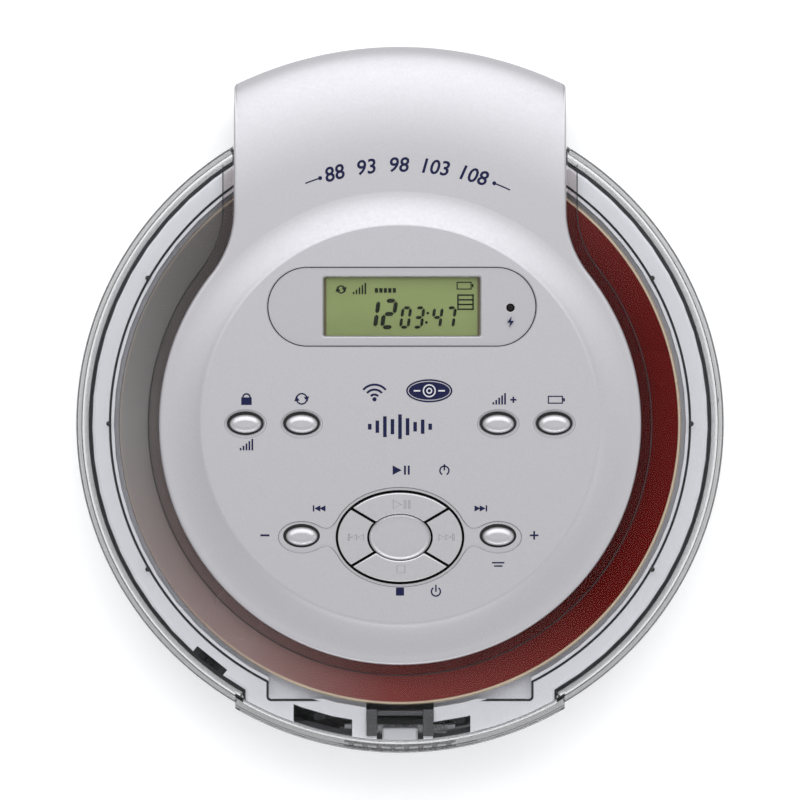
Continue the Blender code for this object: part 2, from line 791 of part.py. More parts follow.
def round_rim(obj, width, segments, top=True, bottom=False):
    """Bevel the sharp edges that lie in a slab's top or bottom face."""
    work = bmesh.new()
    work.from_mesh(obj.data)
    heights = [vert.co.z for vert in work.verts]
    high = max(heights) - MERGE_DISTANCE
    low = min(heights) + MERGE_DISTANCE
    rim = []
    for edge in work.edges:
        ends = [vert.co.z for vert in edge.verts]
        on_top = top and min(ends) >= high
        on_bottom = bottom and max(ends) <= low
        if (on_top or on_bottom) and edge.calc_face_angle(0) > RIM_ANGLE:
            rim.append(edge)
    bmesh.ops.bevel(
        work, geom=rim, offset=width, offset_type='OFFSET', segments=segments,
        profile=0.5, affect='EDGES', clamp_overlap=True,
    )
    work.to_mesh(obj.data)
    work.free()
    return obj


def file_as_cutter(obj):
    """Keep a tool body out of the parts and out of renders."""
    if obj.name not in CUTTERS.objects:
        PARTS.objects.unlink(obj)
        CUTTERS.objects.link(obj)
    obj.hide_render = True
    obj.display_type = 'WIRE'


def boolean(target, operation, tool):
    modifier = target.modifiers.new(tool.name, 'BOOLEAN')
    modifier.operation = operation
    modifier.solver = 'EXACT'
    modifier.object = tool
    file_as_cutter(tool)
    return target


def cut(target, *tools):
    for tool in tools:
        boolean(target, 'DIFFERENCE', tool)
    return target


def join(target, *tools):
    for tool in tools:
        boolean(target, 'UNION', tool)
    return target


def keep_inside(target, tool):
    return boolean(target, 'INTERSECT', tool)


def finish(obj, material):
    """Give a part its material and smooth shading between its sharp edges."""
    obj.data.materials.append(material)
    obj.data.shade_smooth()
    obj.data.set_sharp_from_angle(angle=SMOOTH_ANGLE)
    return obj


def coil_points(start_radius, end_radius, length, turns, wire):
    """Centre line of a spring along +X, with its ends run straight for one wire diameter."""
    steps = turns * COIL_POINTS
    points = [(-2 * wire, start_radius, 0)]
    for i in range(steps + 1):
        share = i / steps
        angle = 4 * QUARTER * turns * share
        radius = start_radius + (end_radius - start_radius) * share
        points.append((length * share, radius * math.cos(angle), radius * math.sin(angle)))
    points.append((length + 2 * wire, end_radius, 0))
    return points


def least_self_gap(points, wire):
    """Least gap between curls, from points more than half a curl apart."""
    least = math.inf
    apart = COIL_POINTS // 2 + 1
    for i, first in enumerate(points):
        for second in points[i + apart:]:
            least = min(least, math.dist(first, second) - 2 * wire)
    return least


def coil(name, points, wire, place):
    """Spring as one unbroken tube."""
    curve = bpy.data.curves.new(name, 'CURVE')
    curve.dimensions = '3D'
    curve.bevel_depth = wire
    curve.bevel_resolution = 1
    curve.use_fill_caps = True
    spline = curve.splines.new('POLY')
    spline.points.add(len(points) - 1)
    for point, (x, y, z) in zip(spline.points, points):
        point.co = (x, y, z, 1)
    print(name, "least gap between curls, mm:", round(least_self_gap(points, wire) * 1000, 3))
    return as_mesh(new_object(name, curve, place))


# Surfaces that several pieces share

def rear_reach(x, radius):
    """How far behind the hinge axis a round wall of the given radius stands at x."""
    return max(math.sqrt(radius ** 2 - x ** 2) - HINGE_Y, 0)


def channel(name, margin):
    """Barrel about the hinge axis that the lid's curved rear wall sweeps as it opens."""
    half = math.sqrt(TONGUE_REAR ** 2 - HINGE_Y ** 2)
    drop = HINGE_Z - LID_BOTTOM
    section = [(0, half)]
    for i in range(CHANNEL_POINTS, -CHANNEL_POINTS - 1, -1):
        x = half * i / CHANNEL_POINTS
        section.append((math.hypot(rear_reach(x, TONGUE_REAR), drop) + margin, x))
    section.append((0, -half))
    barrel = turned(name, section, False, steps=CHANNEL_STEPS)
    barrel.location = PLAYER + Vector((0, HINGE_Y, HINGE_Z))
    barrel.rotation_euler = (0, QUARTER, 0)
    return barrel


def cover_form(name, depth, steps=TURNED_STEPS):
    """The lid cover's outer form sunk by depth: mesa, flare, band and falling rear."""
    section = [(0, MESA_TOP - depth)]
    for i in range(FLARE_POINTS + 1):
        share = i / FLARE_POINTS
        section.append((
            MESA_RADIUS - depth + FLARE_WIDTH * share,
            BAND_TOP - depth + MESA_RISE * (1 - share) ** 2,
        ))
    for i in range(REAR_POINTS + 1):
        angle = QUARTER * i / REAR_POINTS
        section.append((
            REAR_START + (TONGUE_REAR - depth - REAR_START) * math.sin(angle),
            REAR_SHOULDER + (BAND_TOP - depth - REAR_SHOULDER) * math.cos(angle),
        ))
    foot = LID_BOTTOM - OVERRUN
    section.append((TONGUE_REAR - depth, foot))
    section.append((0, foot))
    return turned(name, section, False, steps=steps)


# Base

def add_bottom_case():
    """Tub with rounded foot, battery bay, posts, and openings in floor and wall."""
    case = slab("bottom_case", [base_outline(0)], CASE_BOTTOM, CASE_RIM)
    round_rim(case, CASE_ROUNDING, 2, top=False, bottom=True)
    cut(case, slab("case_inside", [base_outline(CASE_WALL)], CASE_INSIDE, CASE_RIM + OVERRUN))
    cut(case, channel("case_channel", CHANNEL_MARGIN + CHANNEL_WALL + CLEARANCE))

    recess_top = CASE_BOTTOM + DOOR_WALL + CLEARANCE
    guide_top = recess_top + FLOOR_WALL
    guide_half = DOOR_HALF + CLEARANCE + FLOOR_WALL
    guide = box(
        "door_guide", -guide_half, guide_half, DOOR_FRONT - FLOOR_WALL, TONGUE_REAR,
        CASE_INSIDE - FLOOR_WALL / 2, guide_top,
    )
    keep_inside(guide, slab("door_guide_limit", [base_outline(CASE_WALL / 2)], 0, CASE_RIM))
    walls_half = BAY_HALF + BAY_WALL
    join(guide, box(
        "bay_walls", -walls_half, walls_half, BAY_FRONT - BAY_WALL, BAY_REAR + BAY_WALL,
        guide_top - FLOOR_WALL / 2, WELL_UNDER - CLEARANCE,
    ))
    join(case, guide)
    for i, place in enumerate(POST_PLACES):
        join(case, cylinder(
            f"case_post_{i + 1}", POST_RADIUS, CASE_INSIDE - FLOOR_WALL / 2,
            WELL_UNDER - CLEARANCE, place,
        ))
    for i, place in enumerate(BOARD_POST_PLACES):
        join(case, cylinder(
            f"board_post_{i + 1}", POST_RADIUS, CASE_INSIDE - FLOOR_WALL / 2,
            BOARD_BOTTOM - CLEARANCE, place, FINE_STEPS,
        ))
    for i, place in enumerate(DAMPER_PLACES):
        join(case, cylinder(
            f"chassis_post_{i + 1}", DAMPER_POST_RADIUS, CASE_INSIDE - FLOOR_WALL / 2,
            damper_bottom() - CLEARANCE, place, FINE_STEPS,
        ))
    join(case, box(
        "spring_stop", spring_end() + CLEARANCE, spring_end() + CLEARANCE + SPRING_STOP_WIDTH,
        spring_y() - SPRING_RADIUS, spring_y() + SPRING_RADIUS,
        CASE_INSIDE - FLOOR_WALL / 2, SPRING_Z + SPRING_RADIUS,
    ))

    cut(case, box(
        "bay_space", -BAY_HALF, BAY_HALF, BAY_FRONT, BAY_REAR, 0, WELL_UNDER + OVERRUN,
    ))
    recess_half = DOOR_HALF + CLEARANCE
    cut(case, box(
        "door_recess", -recess_half, recess_half, DOOR_FRONT - CLEARANCE,
        TONGUE_REAR + OVERRUN, -OVERRUN, recess_top,
    ))
    for i, place in enumerate(foot_places()):
        cut(case, cylinder(
            f"foot_seat_{i + 1}", FOOT_RADIUS + CLEARANCE, -OVERRUN, FOOT_HEIGHT + CLEARANCE, place,
        ))
    for i, place in enumerate(POST_PLACES):
        cut(case, cylinder(
            f"screw_bore_{i + 1}", POST_BORE, -OVERRUN, WELL_UNDER, place, FINE_STEPS,
        ))
        cut(case, cylinder(
            f"screw_seat_{i + 1}", SCREW_HEAD_RADIUS, -OVERRUN,
            CASE_BOTTOM + SCREW_HEAD_DEPTH, place, PIN_STEPS,
        ))

    knob_room = KNOB_HALF + KNOB_WINDOW_GAP
    cut(case, box(
        "knob_window", -knob_room, knob_room + LATCH_TRAVEL, -RING_RADIUS - OVERRUN,
        -KNOB_INNER, KNOB_BOTTOM - CLEARANCE, CASE_RIM + OVERRUN,
    ))
    cut(case, cross_cylinder(
        "phones_window", PHONES_BARREL + CLEARANCE, BOARD_RADIUS, RING_RADIUS + OVERRUN,
        PHONES_Y, PHONES_Z,
    ))
    cut(case, cross_cylinder(
        "power_window", POWER_BARREL + CLEARANCE, -TONGUE_HALF - OVERRUN,
        power_face() + OVERRUN, POWER_Y, POWER_Z,
    ))
    cut(case, cylinder(
        "volume_window", VOLUME_RADIUS + RUNNING_GAP, VOLUME_BOTTOM - CLEARANCE,
        VOLUME_BOTTOM + VOLUME_WALL + CLEARANCE, (VOLUME_X, VOLUME_Y),
    ))
    return finish(case, CASE_PLASTIC)


def add_battery_door():
    """Door flush with the underside, from the bay to the rear edge, with grip grooves."""
    door = slab("battery_door", [base_outline(0)], CASE_BOTTOM, CASE_RIM)
    round_rim(door, CASE_ROUNDING, 2, top=False, bottom=True)
    keep_inside(door, box(
        "door_limit", -DOOR_HALF, DOOR_HALF, DOOR_FRONT, TONGUE_REAR + OVERRUN,
        0, CASE_BOTTOM + DOOR_WALL,
    ))
    for i in range(DOOR_GROOVES):
        middle = DOOR_GROOVE_PLACE + i * DOOR_GROOVE_PITCH
        cut(door, box(
            f"door_groove_{i + 1}", -DOOR_GROOVE_HALF, DOOR_GROOVE_HALF,
            middle - DOOR_GROOVE_WIDTH / 2, middle + DOOR_GROOVE_WIDTH / 2,
            0, CASE_BOTTOM + DOOR_GROOVE_DEPTH,
        ))
    return finish(door, CASE_PLASTIC)


def cell_places():
    """Centre lines of the two cells, as y values."""
    middle = (BAY_FRONT + BAY_REAR) / 2
    return (middle - CELL_RADIUS, middle + CELL_RADIUS)


def cell_height():
    return CASE_BOTTOM + DOOR_WALL + CELL_RADIUS


def contact_plate(name, side, front, rear):
    """Upright contact plate that stands just inside one end wall of the bay."""
    wall = BAY_HALF - CLEARANCE
    edges = sorted((side * wall, side * (wall - CONTACT_WALL)))
    middle = cell_height()
    return box(
        name, edges[0], edges[1], front, rear,
        middle - CONTACT_HEIGHT / 2, middle + CONTACT_HEIGHT / 2,
    )


def add_contacts():
    """Bridge at the left, positive and sprung negative contacts at the right."""
    near, far = cell_places()
    bridge = contact_plate("contact_bridge", -1, near - CONTACT_HALF, far + CONTACT_HALF)
    finish(bridge, SPRING_METAL)
    positive = contact_plate("contact_positive", 1, near - CONTACT_HALF, near + CONTACT_HALF)
    inside = BAY_HALF - CLEARANCE - CONTACT_WALL
    join(positive, cross_cylinder(
        "positive_dimple", CONTACT_DIMPLE_RADIUS, inside - CONTACT_DIMPLE,
        inside + CONTACT_WALL / 2, near, cell_height(), PIN_STEPS,
    ))
    finish(positive, SPRING_METAL)
    negative = contact_plate("contact_negative", 1, far - CONTACT_HALF, far + CONTACT_HALF)
    points = coil_points(COIL_SMALL_RADIUS, COIL_LARGE_RADIUS, COIL_LENGTH, COIL_TURNS, COIL_WIRE)
    place = (inside - COIL_LENGTH - COIL_WIRE, far, cell_height())
    join(negative, coil("negative_coil", points, COIL_WIRE, place))
    finish(negative, SPRING_METAL)
    return bridge, positive, negative


def foot_places():
    places = []
    for angle in (-QUARTER + FOOT_FRONT_ANGLE, -QUARTER - FOOT_FRONT_ANGLE,
                  QUARTER - FOOT_REAR_ANGLE, QUARTER + FOOT_REAR_ANGLE):
        places.append((FOOT_RING * math.cos(angle), FOOT_RING * math.sin(angle)))
    return places


def add_feet():
    """Four rubber feet seated in the underside."""
    feet = []
    section = [
        (0, FOOT_HEIGHT),
        (FOOT_RADIUS, FOOT_HEIGHT),
        (FOOT_RADIUS, FOOT_ROUNDING),
        (FOOT_RADIUS - FOOT_ROUNDING, 0),
        (0, 0),
    ]
    names = ("foot_front_right", "foot_front_left", "foot_rear_right", "foot_rear_left")
    for name, place in zip(names, foot_places()):
        foot = turned(name, section, False, place, SMALL_STEPS)
        feet.append(finish(foot, RUBBER_BLACK))
    return feet


def add_top_deck():
    """Deck with the disc well, latch openings, hinge channel and knuckles."""
    deck = slab("top_deck", [raised_outline(0)], FLANGE_BOTTOM, DECK_TOP)
    round_rim(deck, RAISED_ROUNDING, 1)
    front = slab(
        "deck_front", [front_band(WELL_RADIUS, deck_front_radius(), deck_front_half())],
        FLANGE_BOTTOM, DECK_TOP,
    )
    round_rim(front, RAISED_ROUNDING, 1)
    join(deck, front)
    join(deck, slab("deck_flange", [base_outline(0)], FLANGE_BOTTOM, FLANGE_TOP))

    hollow = slab("deck_hollow", [raised_outline(DECK_SKIN)], FLANGE_BOTTOM - OVERRUN, DECK_UNDER)
    join(hollow, slab(
        "deck_front_hollow",
        [front_band(
            WELL_RADIUS, deck_front_radius() - DECK_SKIN, deck_front_half() - DECK_SKIN)],
        FLANGE_BOTTOM - OVERRUN, DECK_UNDER,
    ))
    cut(hollow, cylinder(
        "well_shell", WELL_RADIUS + WELL_WALL, WELL_UNDER, DECK_TOP, (0, 0), TURNED_STEPS,
    ))
    notch_shell_half = NOTCH_HALF + WELL_WALL
    cut(hollow, box(
        "notch_shell", -notch_shell_half, notch_shell_half, -NOTCH_CHORD - WELL_WALL,
        -NOTCH_BACK, WELL_UNDER, DECK_TOP,
    ))
    cut(deck, hollow)
    limit = slab("trough_limit", [base_outline(0)], 0, FLANGE_TOP)
    join(limit, slab(
        "trough_upper_limit", [raised_outline(DECK_SKIN / 2)], FLANGE_BOTTOM,
        DECK_TOP - DECK_SKIN / 2,
    ))
    trough = channel("deck_trough", CHANNEL_MARGIN + CHANNEL_WALL)
    keep_inside(trough, limit)
    join(deck, trough)
    cut(deck, channel("lid_sweep", CHANNEL_MARGIN))

    cut(deck, cylinder(
        "disc_well", WELL_RADIUS, WELL_FLOOR, DECK_TOP + OVERRUN, (0, 0), TURNED_STEPS,
    ))
    notch_middle = (NOTCH_CHORD + NOTCH_BACK) / 2
    cut(deck, slab(
        "finger_notches",
        [rounded_rectangle(NOTCH_HALF, (NOTCH_CHORD - NOTCH_BACK) / 2, NOTCH_CORNER)],
        WELL_FLOOR, DECK_TOP + OVERRUN, (0, -notch_middle),
    ))
    cut(deck, cylinder(
        "hub_opening", KEYHOLE_RADIUS, WELL_UNDER - OVERRUN, WELL_FLOOR + OVERRUN, (0, 0),
        HALF_STEPS,
    ))
    cut(deck, slab(
        "lens_opening", [stadium(KEYHOLE_REACH, 2 * KEYHOLE_HALF)], WELL_UNDER - OVERRUN,
        WELL_FLOOR + OVERRUN, (-KEYHOLE_REACH / 2, 0),
    ))
    for i, (left, right) in enumerate(HOOK_SLOTS):
        slot = box(
            f"hook_slot_{i + 1}", left, right, -RING_RADIUS, -NOTCH_BACK,
            FLANGE_TOP, DECK_TOP + OVERRUN,
        )
        cut(slot, cylinder(
            f"slot_limit_{i + 1}", SLOT_INNER, 0, KEY_TOP, (0, 0), TURNED_STEPS,
        ))
        cut(deck, slot)
    recess = [
        (-RECESS_HALF, -WELL_RADIUS + WELL_WALL), (-RECESS_HALF, -RECESS_SHOULDER),
        (-RECESS_NARROW_HALF, -RECESS_SHOULDER), (-RECESS_NARROW_HALF, -RING_RADIUS),
        (RECESS_NARROW_HALF, -RING_RADIUS), (RECESS_NARROW_HALF, -RECESS_SHOULDER),
        (RECESS_HALF, -RECESS_SHOULDER), (RECESS_HALF, -WELL_RADIUS + WELL_WALL),
    ]
    cut(deck, slab("guide_recess", [recess], FLANGE_TOP, DECK_TOP + OVERRUN))
    cut(deck, at_tab(box(
        "tab_slot", -TAB_SLOT_WIDTH / 2, TAB_SLOT_WIDTH / 2, -RING_RADIUS, -SLOT_INNER,
        FLANGE_TOP, DECK_TOP + OVERRUN,
    )))
    cut(deck, cylinder(
        "switch_bore", SWITCH_BUTTON_RADIUS + CLEARANCE, FLANGE_BOTTOM - OVERRUN,
        FLANGE_TOP + OVERRUN, switch_place(), PIN_STEPS,
    ))

    for name, left in knuckle_places():
        arm = box(
            f"arm_{name}", left, left + KNUCKLE_WIDTH, HINGE_Y - ARM_ROOT, HINGE_Y,
            HINGE_Z - ARM_BOTTOM_SHARE * KNUCKLE_RADIUS, HINGE_Z + ARM_TOP_SHARE * KNUCKLE_RADIUS,
        )
        join(arm, cross_cylinder(
            f"knuckle_{name}", KNUCKLE_RADIUS, left, left + KNUCKLE_WIDTH, HINGE_Y, HINGE_Z,
            PIN_STEPS,
        ))
        join(deck, arm)
    for side in (-1, 1):
        cut(deck, pin_bore(f"base_pin_bore_{side}", side))
    return finish(deck, DECK_PLASTIC)


def deck_front_radius():
    return LIP_RADIUS - RING_WALL - CLEARANCE


def deck_front_half():
    return LIP_HALF - RING_WALL - CLEARANCE


def at_tab(obj):
    """Turn a piece that was made at the front to the lid tab's place."""
    obj.matrix_world = (
        Matrix.Translation(PLAYER) @ Matrix.Rotation(-TAB_ANGLE, 4, 'Z')
        @ Matrix.Translation(obj.location - PLAYER)
    )
    return obj


def switch_place():
    return (-SWITCH_RING * math.sin(TAB_ANGLE), -SWITCH_RING * math.cos(TAB_ANGLE))


def knuckle_places():
    """Names and left faces of the base knuckles, two on each side of either lug."""
    outer = KNUCKLE_INNER + KNUCKLE_WIDTH + 2 * CLEARANCE + LUG_WIDTH
    return (
        ("right_inner", KNUCKLE_INNER),
        ("right_outer", outer),
        ("left_inner", -KNUCKLE_INNER - KNUCKLE_WIDTH),
        ("left_outer", -outer - KNUCKLE_WIDTH),
    )


def pin_reach():
    return KNUCKLE_INNER + 2 * KNUCKLE_WIDTH + 2 * CLEARANCE + LUG_WIDTH


def pin_bore(name, side):
    """Bore through the knuckles and lug of one side."""
    ends = sorted((side * (KNUCKLE_INNER - OVERRUN), side * (pin_reach() + OVERRUN)))
    return cross_cylinder(
        name, HINGE_PIN_RADIUS + CLEARANCE, ends[0], ends[1], HINGE_Y, HINGE_Z, FINE_STEPS,
    )


def add_hinge_pins():
    pins = []
    for name, side in (("hinge_pin_left", -1), ("hinge_pin_right", 1)):
        ends = sorted((side * KNUCKLE_INNER, side * pin_reach()))
        pin = cross_cylinder(name, HINGE_PIN_RADIUS, ends[0], ends[1], HINGE_Y, HINGE_Z, FINE_STEPS)
        pins.append(finish(pin, STEEL_METAL))
    return pins


def add_disc():
    bottom = WELL_FLOOR + DISC_GAP
    section = [
        (DISC_HOLE, bottom + DISC_WALL),
        (DISC_RADIUS, bottom + DISC_WALL),
        (DISC_RADIUS, bottom),
        (DISC_HOLE, bottom),
    ]
    return finish(turned("disc", section, True), DISC_FILM)


def add_turntable_hub():
    """Plate under the disc, tapered boss through its hole and a neck on the motor shaft."""
    plate_top = WELL_FLOOR + DISC_GAP - CLEARANCE
    boss_top = plate_top + CLEARANCE + DISC_WALL + HUB_BOSS_PROUD
    boss_radius = DISC_HOLE - CLEARANCE
    neck_bottom = plate_top - HUB_PLATE_WALL - HUB_NECK_LENGTH
    bore = SHAFT_RADIUS + CLEARANCE
    section = [
        (bore, boss_top),
        (boss_radius - HUB_BOSS_TAPER, boss_top),
        (boss_radius, boss_top - HUB_BOSS_TAPER),
        (boss_radius, plate_top),
        (HUB_PLATE_RADIUS, plate_top),
        (HUB_PLATE_RADIUS, plate_top - HUB_PLATE_WALL),
        (HUB_NECK_RADIUS, plate_top - HUB_PLATE_WALL),
        (HUB_NECK_RADIUS, neck_bottom),
        (bore, neck_bottom),
    ]
    return finish(turned("turntable_hub", section, True, steps=HALF_STEPS), BLACK_PLASTIC)


def add_spindle_motor():
    """Flat motor under the chassis with its shaft in the hub."""
    top = CHASSIS_BOTTOM - CLEARANCE
    bottom = CASE_INSIDE + CLEARANCE
    shaft_top = WELL_FLOOR + DISC_GAP
    section = [
        (0, shaft_top),
        (SHAFT_RADIUS, shaft_top),
        (SHAFT_RADIUS, top),
        (SPINDLE_MOTOR_RADIUS - SPINDLE_MOTOR_STEP, top),
        (SPINDLE_MOTOR_RADIUS - SPINDLE_MOTOR_STEP, top - SPINDLE_MOTOR_STEP),
        (SPINDLE_MOTOR_RADIUS, top - SPINDLE_MOTOR_STEP),
        (SPINDLE_MOTOR_RADIUS, bottom),
        (0, bottom),
    ]
    return finish(turned("spindle_motor", section, False, steps=HALF_STEPS), STEEL_METAL)


def add_mech_chassis():
    """Plate that carries the pickup, open along the sled's path and round the spindle."""
    nose = CHASSIS_LEFT - CHASSIS_NOSE_LENGTH
    outline = [
        (-CHASSIS_LEFT, -CHASSIS_NOSE_HALF), (-nose, -CHASSIS_HALF),
        (CHASSIS_RIGHT, -CHASSIS_HALF), (CHASSIS_RIGHT, CHASSIS_HALF),
        (-nose, CHASSIS_HALF), (-CHASSIS_LEFT, CHASSIS_NOSE_HALF),
    ]
    path = rectangle(
        -CHASSIS_SLOT_LEFT, -CHASSIS_SLOT_RIGHT, -CHASSIS_SLOT_HALF, CHASSIS_SLOT_HALF,
    )
    eye = HUB_NECK_RADIUS + RUNNING_GAP
    shaft = ellipse(2 * eye, 2 * eye, PIN_STEPS)
    gear_hole = DRIVE_SHAFT_RADIUS + RUNNING_GAP
    gear_eye = moved(ellipse(2 * gear_hole, 2 * gear_hole, PIN_STEPS), DRIVE_GEAR_X, drive_gear_y())
    plate = slab(
        "mech_chassis", [outline, path, shaft, gear_eye],
        CHASSIS_BOTTOM, CHASSIS_BOTTOM + CHASSIS_WALL,
    )
    return finish(plate, STEEL_METAL)


def damper_bottom():
    return CHASSIS_BOTTOM - CLEARANCE - DAMPER_HEIGHT


def add_dampers():
    """Rubber rings with a waist, between the case posts and the chassis."""
    dampers = []
    bottom = damper_bottom()
    section = [
        (0, bottom + DAMPER_HEIGHT),
        (DAMPER_RADIUS, bottom + DAMPER_HEIGHT),
        (DAMPER_RADIUS - DAMPER_WAIST, bottom + DAMPER_HEIGHT / 2),
        (DAMPER_RADIUS, bottom),
        (0, bottom),
    ]
    names = ("damper_front_right", "damper_rear_right", "damper_rear_left")
    for name, place in zip(names, DAMPER_PLACES):
        dampers.append(finish(turned(name, section, False, place, PIN_STEPS), RUBBER_BLACK))
    return dampers


def rod_height():
    return CHASSIS_BOTTOM + CHASSIS_WALL + CLEARANCE + ROD_RADIUS


def add_guide_rods():
    rods = []
    for name, side in (("guide_rod_front", -1), ("guide_rod_rear", 1)):
        rod = cross_cylinder(
            name, ROD_RADIUS, -ROD_LEFT, -ROD_RIGHT, side * ROD_SPACING / 2, rod_height(), PIN_STEPS,
        )
        rods.append(finish(rod, STEEL_METAL))
    return rods


def tooth_pitch():
    return math.pi * GEAR_MODULE


def pinion_radius():
    return PINION_TEETH * GEAR_MODULE / 2


def rack_line():
    """The y of the rack's pitch line, on the front side of the sled."""
    return -SLED_HALF - RACK_BACK - TOOTH_ROOT


def drive_gear_y():
    return rack_line() - pinion_radius()


def rack_outline():
    """Toothed strip whose gap faces the drive pinion's tooth at rest."""
    back = -SLED_HALF + RACK_BACK
    root = rack_line() + TOOTH_ROOT
    tip = rack_line() - TOOTH_TIP
    pitch = tooth_pitch()
    first = DRIVE_GEAR_X - pitch / 2
    points = [(first - pitch / 2, back), (first - pitch / 2, root)]
    for i in range(RACK_TEETH):
        middle = first + i * pitch
        points += [
            (middle - TOOTH_ROOT_SHARE * pitch, root),
            (middle - TOOTH_TIP_SHARE * pitch, tip),
            (middle + TOOTH_TIP_SHARE * pitch, tip),
            (middle + TOOTH_ROOT_SHARE * pitch, root),
        ]
    last = first + (RACK_TEETH - 1) * pitch
    points += [(last + pitch / 2, root), (last + pitch / 2, back)]
    return points


def add_pickup_sled():
    """Sled on two rods, with its rack and the frame round the lens."""
    middle = -(SLED_LEFT + SLED_RIGHT) / 2
    half = (SLED_LEFT - SLED_RIGHT) / 2
    sled = slab(
        "pickup_sled", [rounded_rectangle(half, SLED_HALF, SLED_HALF - ROD_SPACING / 2)],
        SLED_BOTTOM, SLED_TOP, (middle, 0),
    )
    round_rim(sled, SLED_ROUNDING, 1)
    join(sled, box(
        "lens_frame", -LENS_PLACE - LENS_FRAME_HALF, -LENS_PLACE + LENS_FRAME_HALF,
        -LENS_FRAME_HALF, LENS_FRAME_HALF, SLED_TOP - LENS_FRAME_HEIGHT,
        SLED_TOP + LENS_FRAME_HEIGHT,
    ))
    rack = joined(rack_outline())
    join(sled, lofted("sled_rack", [(rack, RACK_BOTTOM), (rack, RACK_TOP)]))
    for side in (-1, 1):
        cut(sled, cross_cylinder(
            f"rod_bore_{side}", ROD_RADIUS + CLEARANCE, -SLED_LEFT - OVERRUN,
            -SLED_RIGHT + OVERRUN, side * ROD_SPACING / 2, rod_height(), PIN_STEPS,
        ))
    cut(sled, cylinder(
        "lens_seat", LENS_RADIUS + CLEARANCE, SLED_TOP - LENS_FRAME_HEIGHT,
        SLED_TOP + LENS_FRAME_HEIGHT + OVERRUN, (-LENS_PLACE, 0),
    ))
    return finish(sled, BLACK_PLASTIC)


def add_pickup_lens():
    """Lens in its moving holder, domed on top."""
    bottom = SLED_TOP - LENS_FRAME_HEIGHT + CLEARANCE
    top = SLED_TOP + LENS_HEIGHT
    dome = LENS_HEIGHT - LENS_FRAME_HEIGHT
    section = [
        (0, top),
        (LENS_RADIUS / 2, top - dome / 4),
        (LENS_RADIUS, top - dome),
        (LENS_RADIUS, bottom),
        (0, bottom),
    ]
    return finish(turned("pickup_lens", section, False, (-LENS_PLACE, 0), SMALL_STEPS), LENS_GLASS)


def motor_pinion_place():
    distance = (WHEEL_TEETH + PINION_TEETH) * GEAR_MODULE / 2
    return (
        DRIVE_GEAR_X + distance * math.cos(MOTOR_PINION_ANGLE),
        drive_gear_y() + distance * math.sin(MOTOR_PINION_ANGLE),
    )


def add_drive_gear():
    """Wheel under the chassis and pinion above it on one shaft, with a bore."""
    place = (DRIVE_GEAR_X, drive_gear_y())
    gear = slab(
        "drive_gear", [gear_outline(WHEEL_TEETH, MOTOR_PINION_ANGLE)],
        DRIVE_WHEEL_BOTTOM, DRIVE_WHEEL_TOP, place,
    )
    join(gear, cylinder(
        "drive_shaft", DRIVE_SHAFT_RADIUS, (DRIVE_WHEEL_BOTTOM + DRIVE_WHEEL_TOP) / 2,
        (RACK_BOTTOM + RACK_TOP) / 2, place,
    ))
    join(gear, slab(
        "drive_pinion", [gear_outline(PINION_TEETH, QUARTER)],
        CHASSIS_BOTTOM + CHASSIS_WALL + CLEARANCE, RACK_TOP, place,
    ))
    cut(gear, cylinder(
        "drive_bore", DRIVE_PIN_RADIUS, DRIVE_WHEEL_BOTTOM - OVERRUN, RACK_TOP + OVERRUN,
        place, PIN_STEPS,
    ))
    return finish(gear, IVORY_PLASTIC)


def add_motor_pinion():
    """Pinion whose gap faces the wheel's tooth, with a bore for the motor shaft."""
    place = motor_pinion_place()
    step = 4 * QUARTER / PINION_TEETH
    bore = SHAFT_RADIUS + CLEARANCE
    pinion = slab(
        "motor_pinion",
        [gear_outline(PINION_TEETH, MOTOR_PINION_ANGLE + 2 * QUARTER + step / 2),
         ellipse(2 * bore, 2 * bore, PIN_STEPS)],
        SLED_MOTOR_TOP + CLEARANCE, SLED_MOTOR_TOP + CLEARANCE + MOTOR_PINION_HEIGHT, place,
    )
    return finish(pinion, IVORY_PLASTIC)


def add_sled_motor():
    bottom = CASE_INSIDE + CLEARANCE
    shaft_top = SLED_MOTOR_TOP + MOTOR_PINION_HEIGHT
    section = [
        (0, shaft_top),
        (SHAFT_RADIUS, shaft_top),
        (SHAFT_RADIUS, SLED_MOTOR_TOP),
        (SLED_MOTOR_RADIUS - SLED_MOTOR_STEP, SLED_MOTOR_TOP),
        (SLED_MOTOR_RADIUS, SLED_MOTOR_TOP - SLED_MOTOR_STEP),
        (SLED_MOTOR_RADIUS, bottom),
        (0, bottom),
    ]
    place = motor_pinion_place()
    return finish(turned("sled_motor", section, False, place, SMALL_STEPS), STEEL_METAL)


def board_top():
    return BOARD_BOTTOM + BOARD_WALL


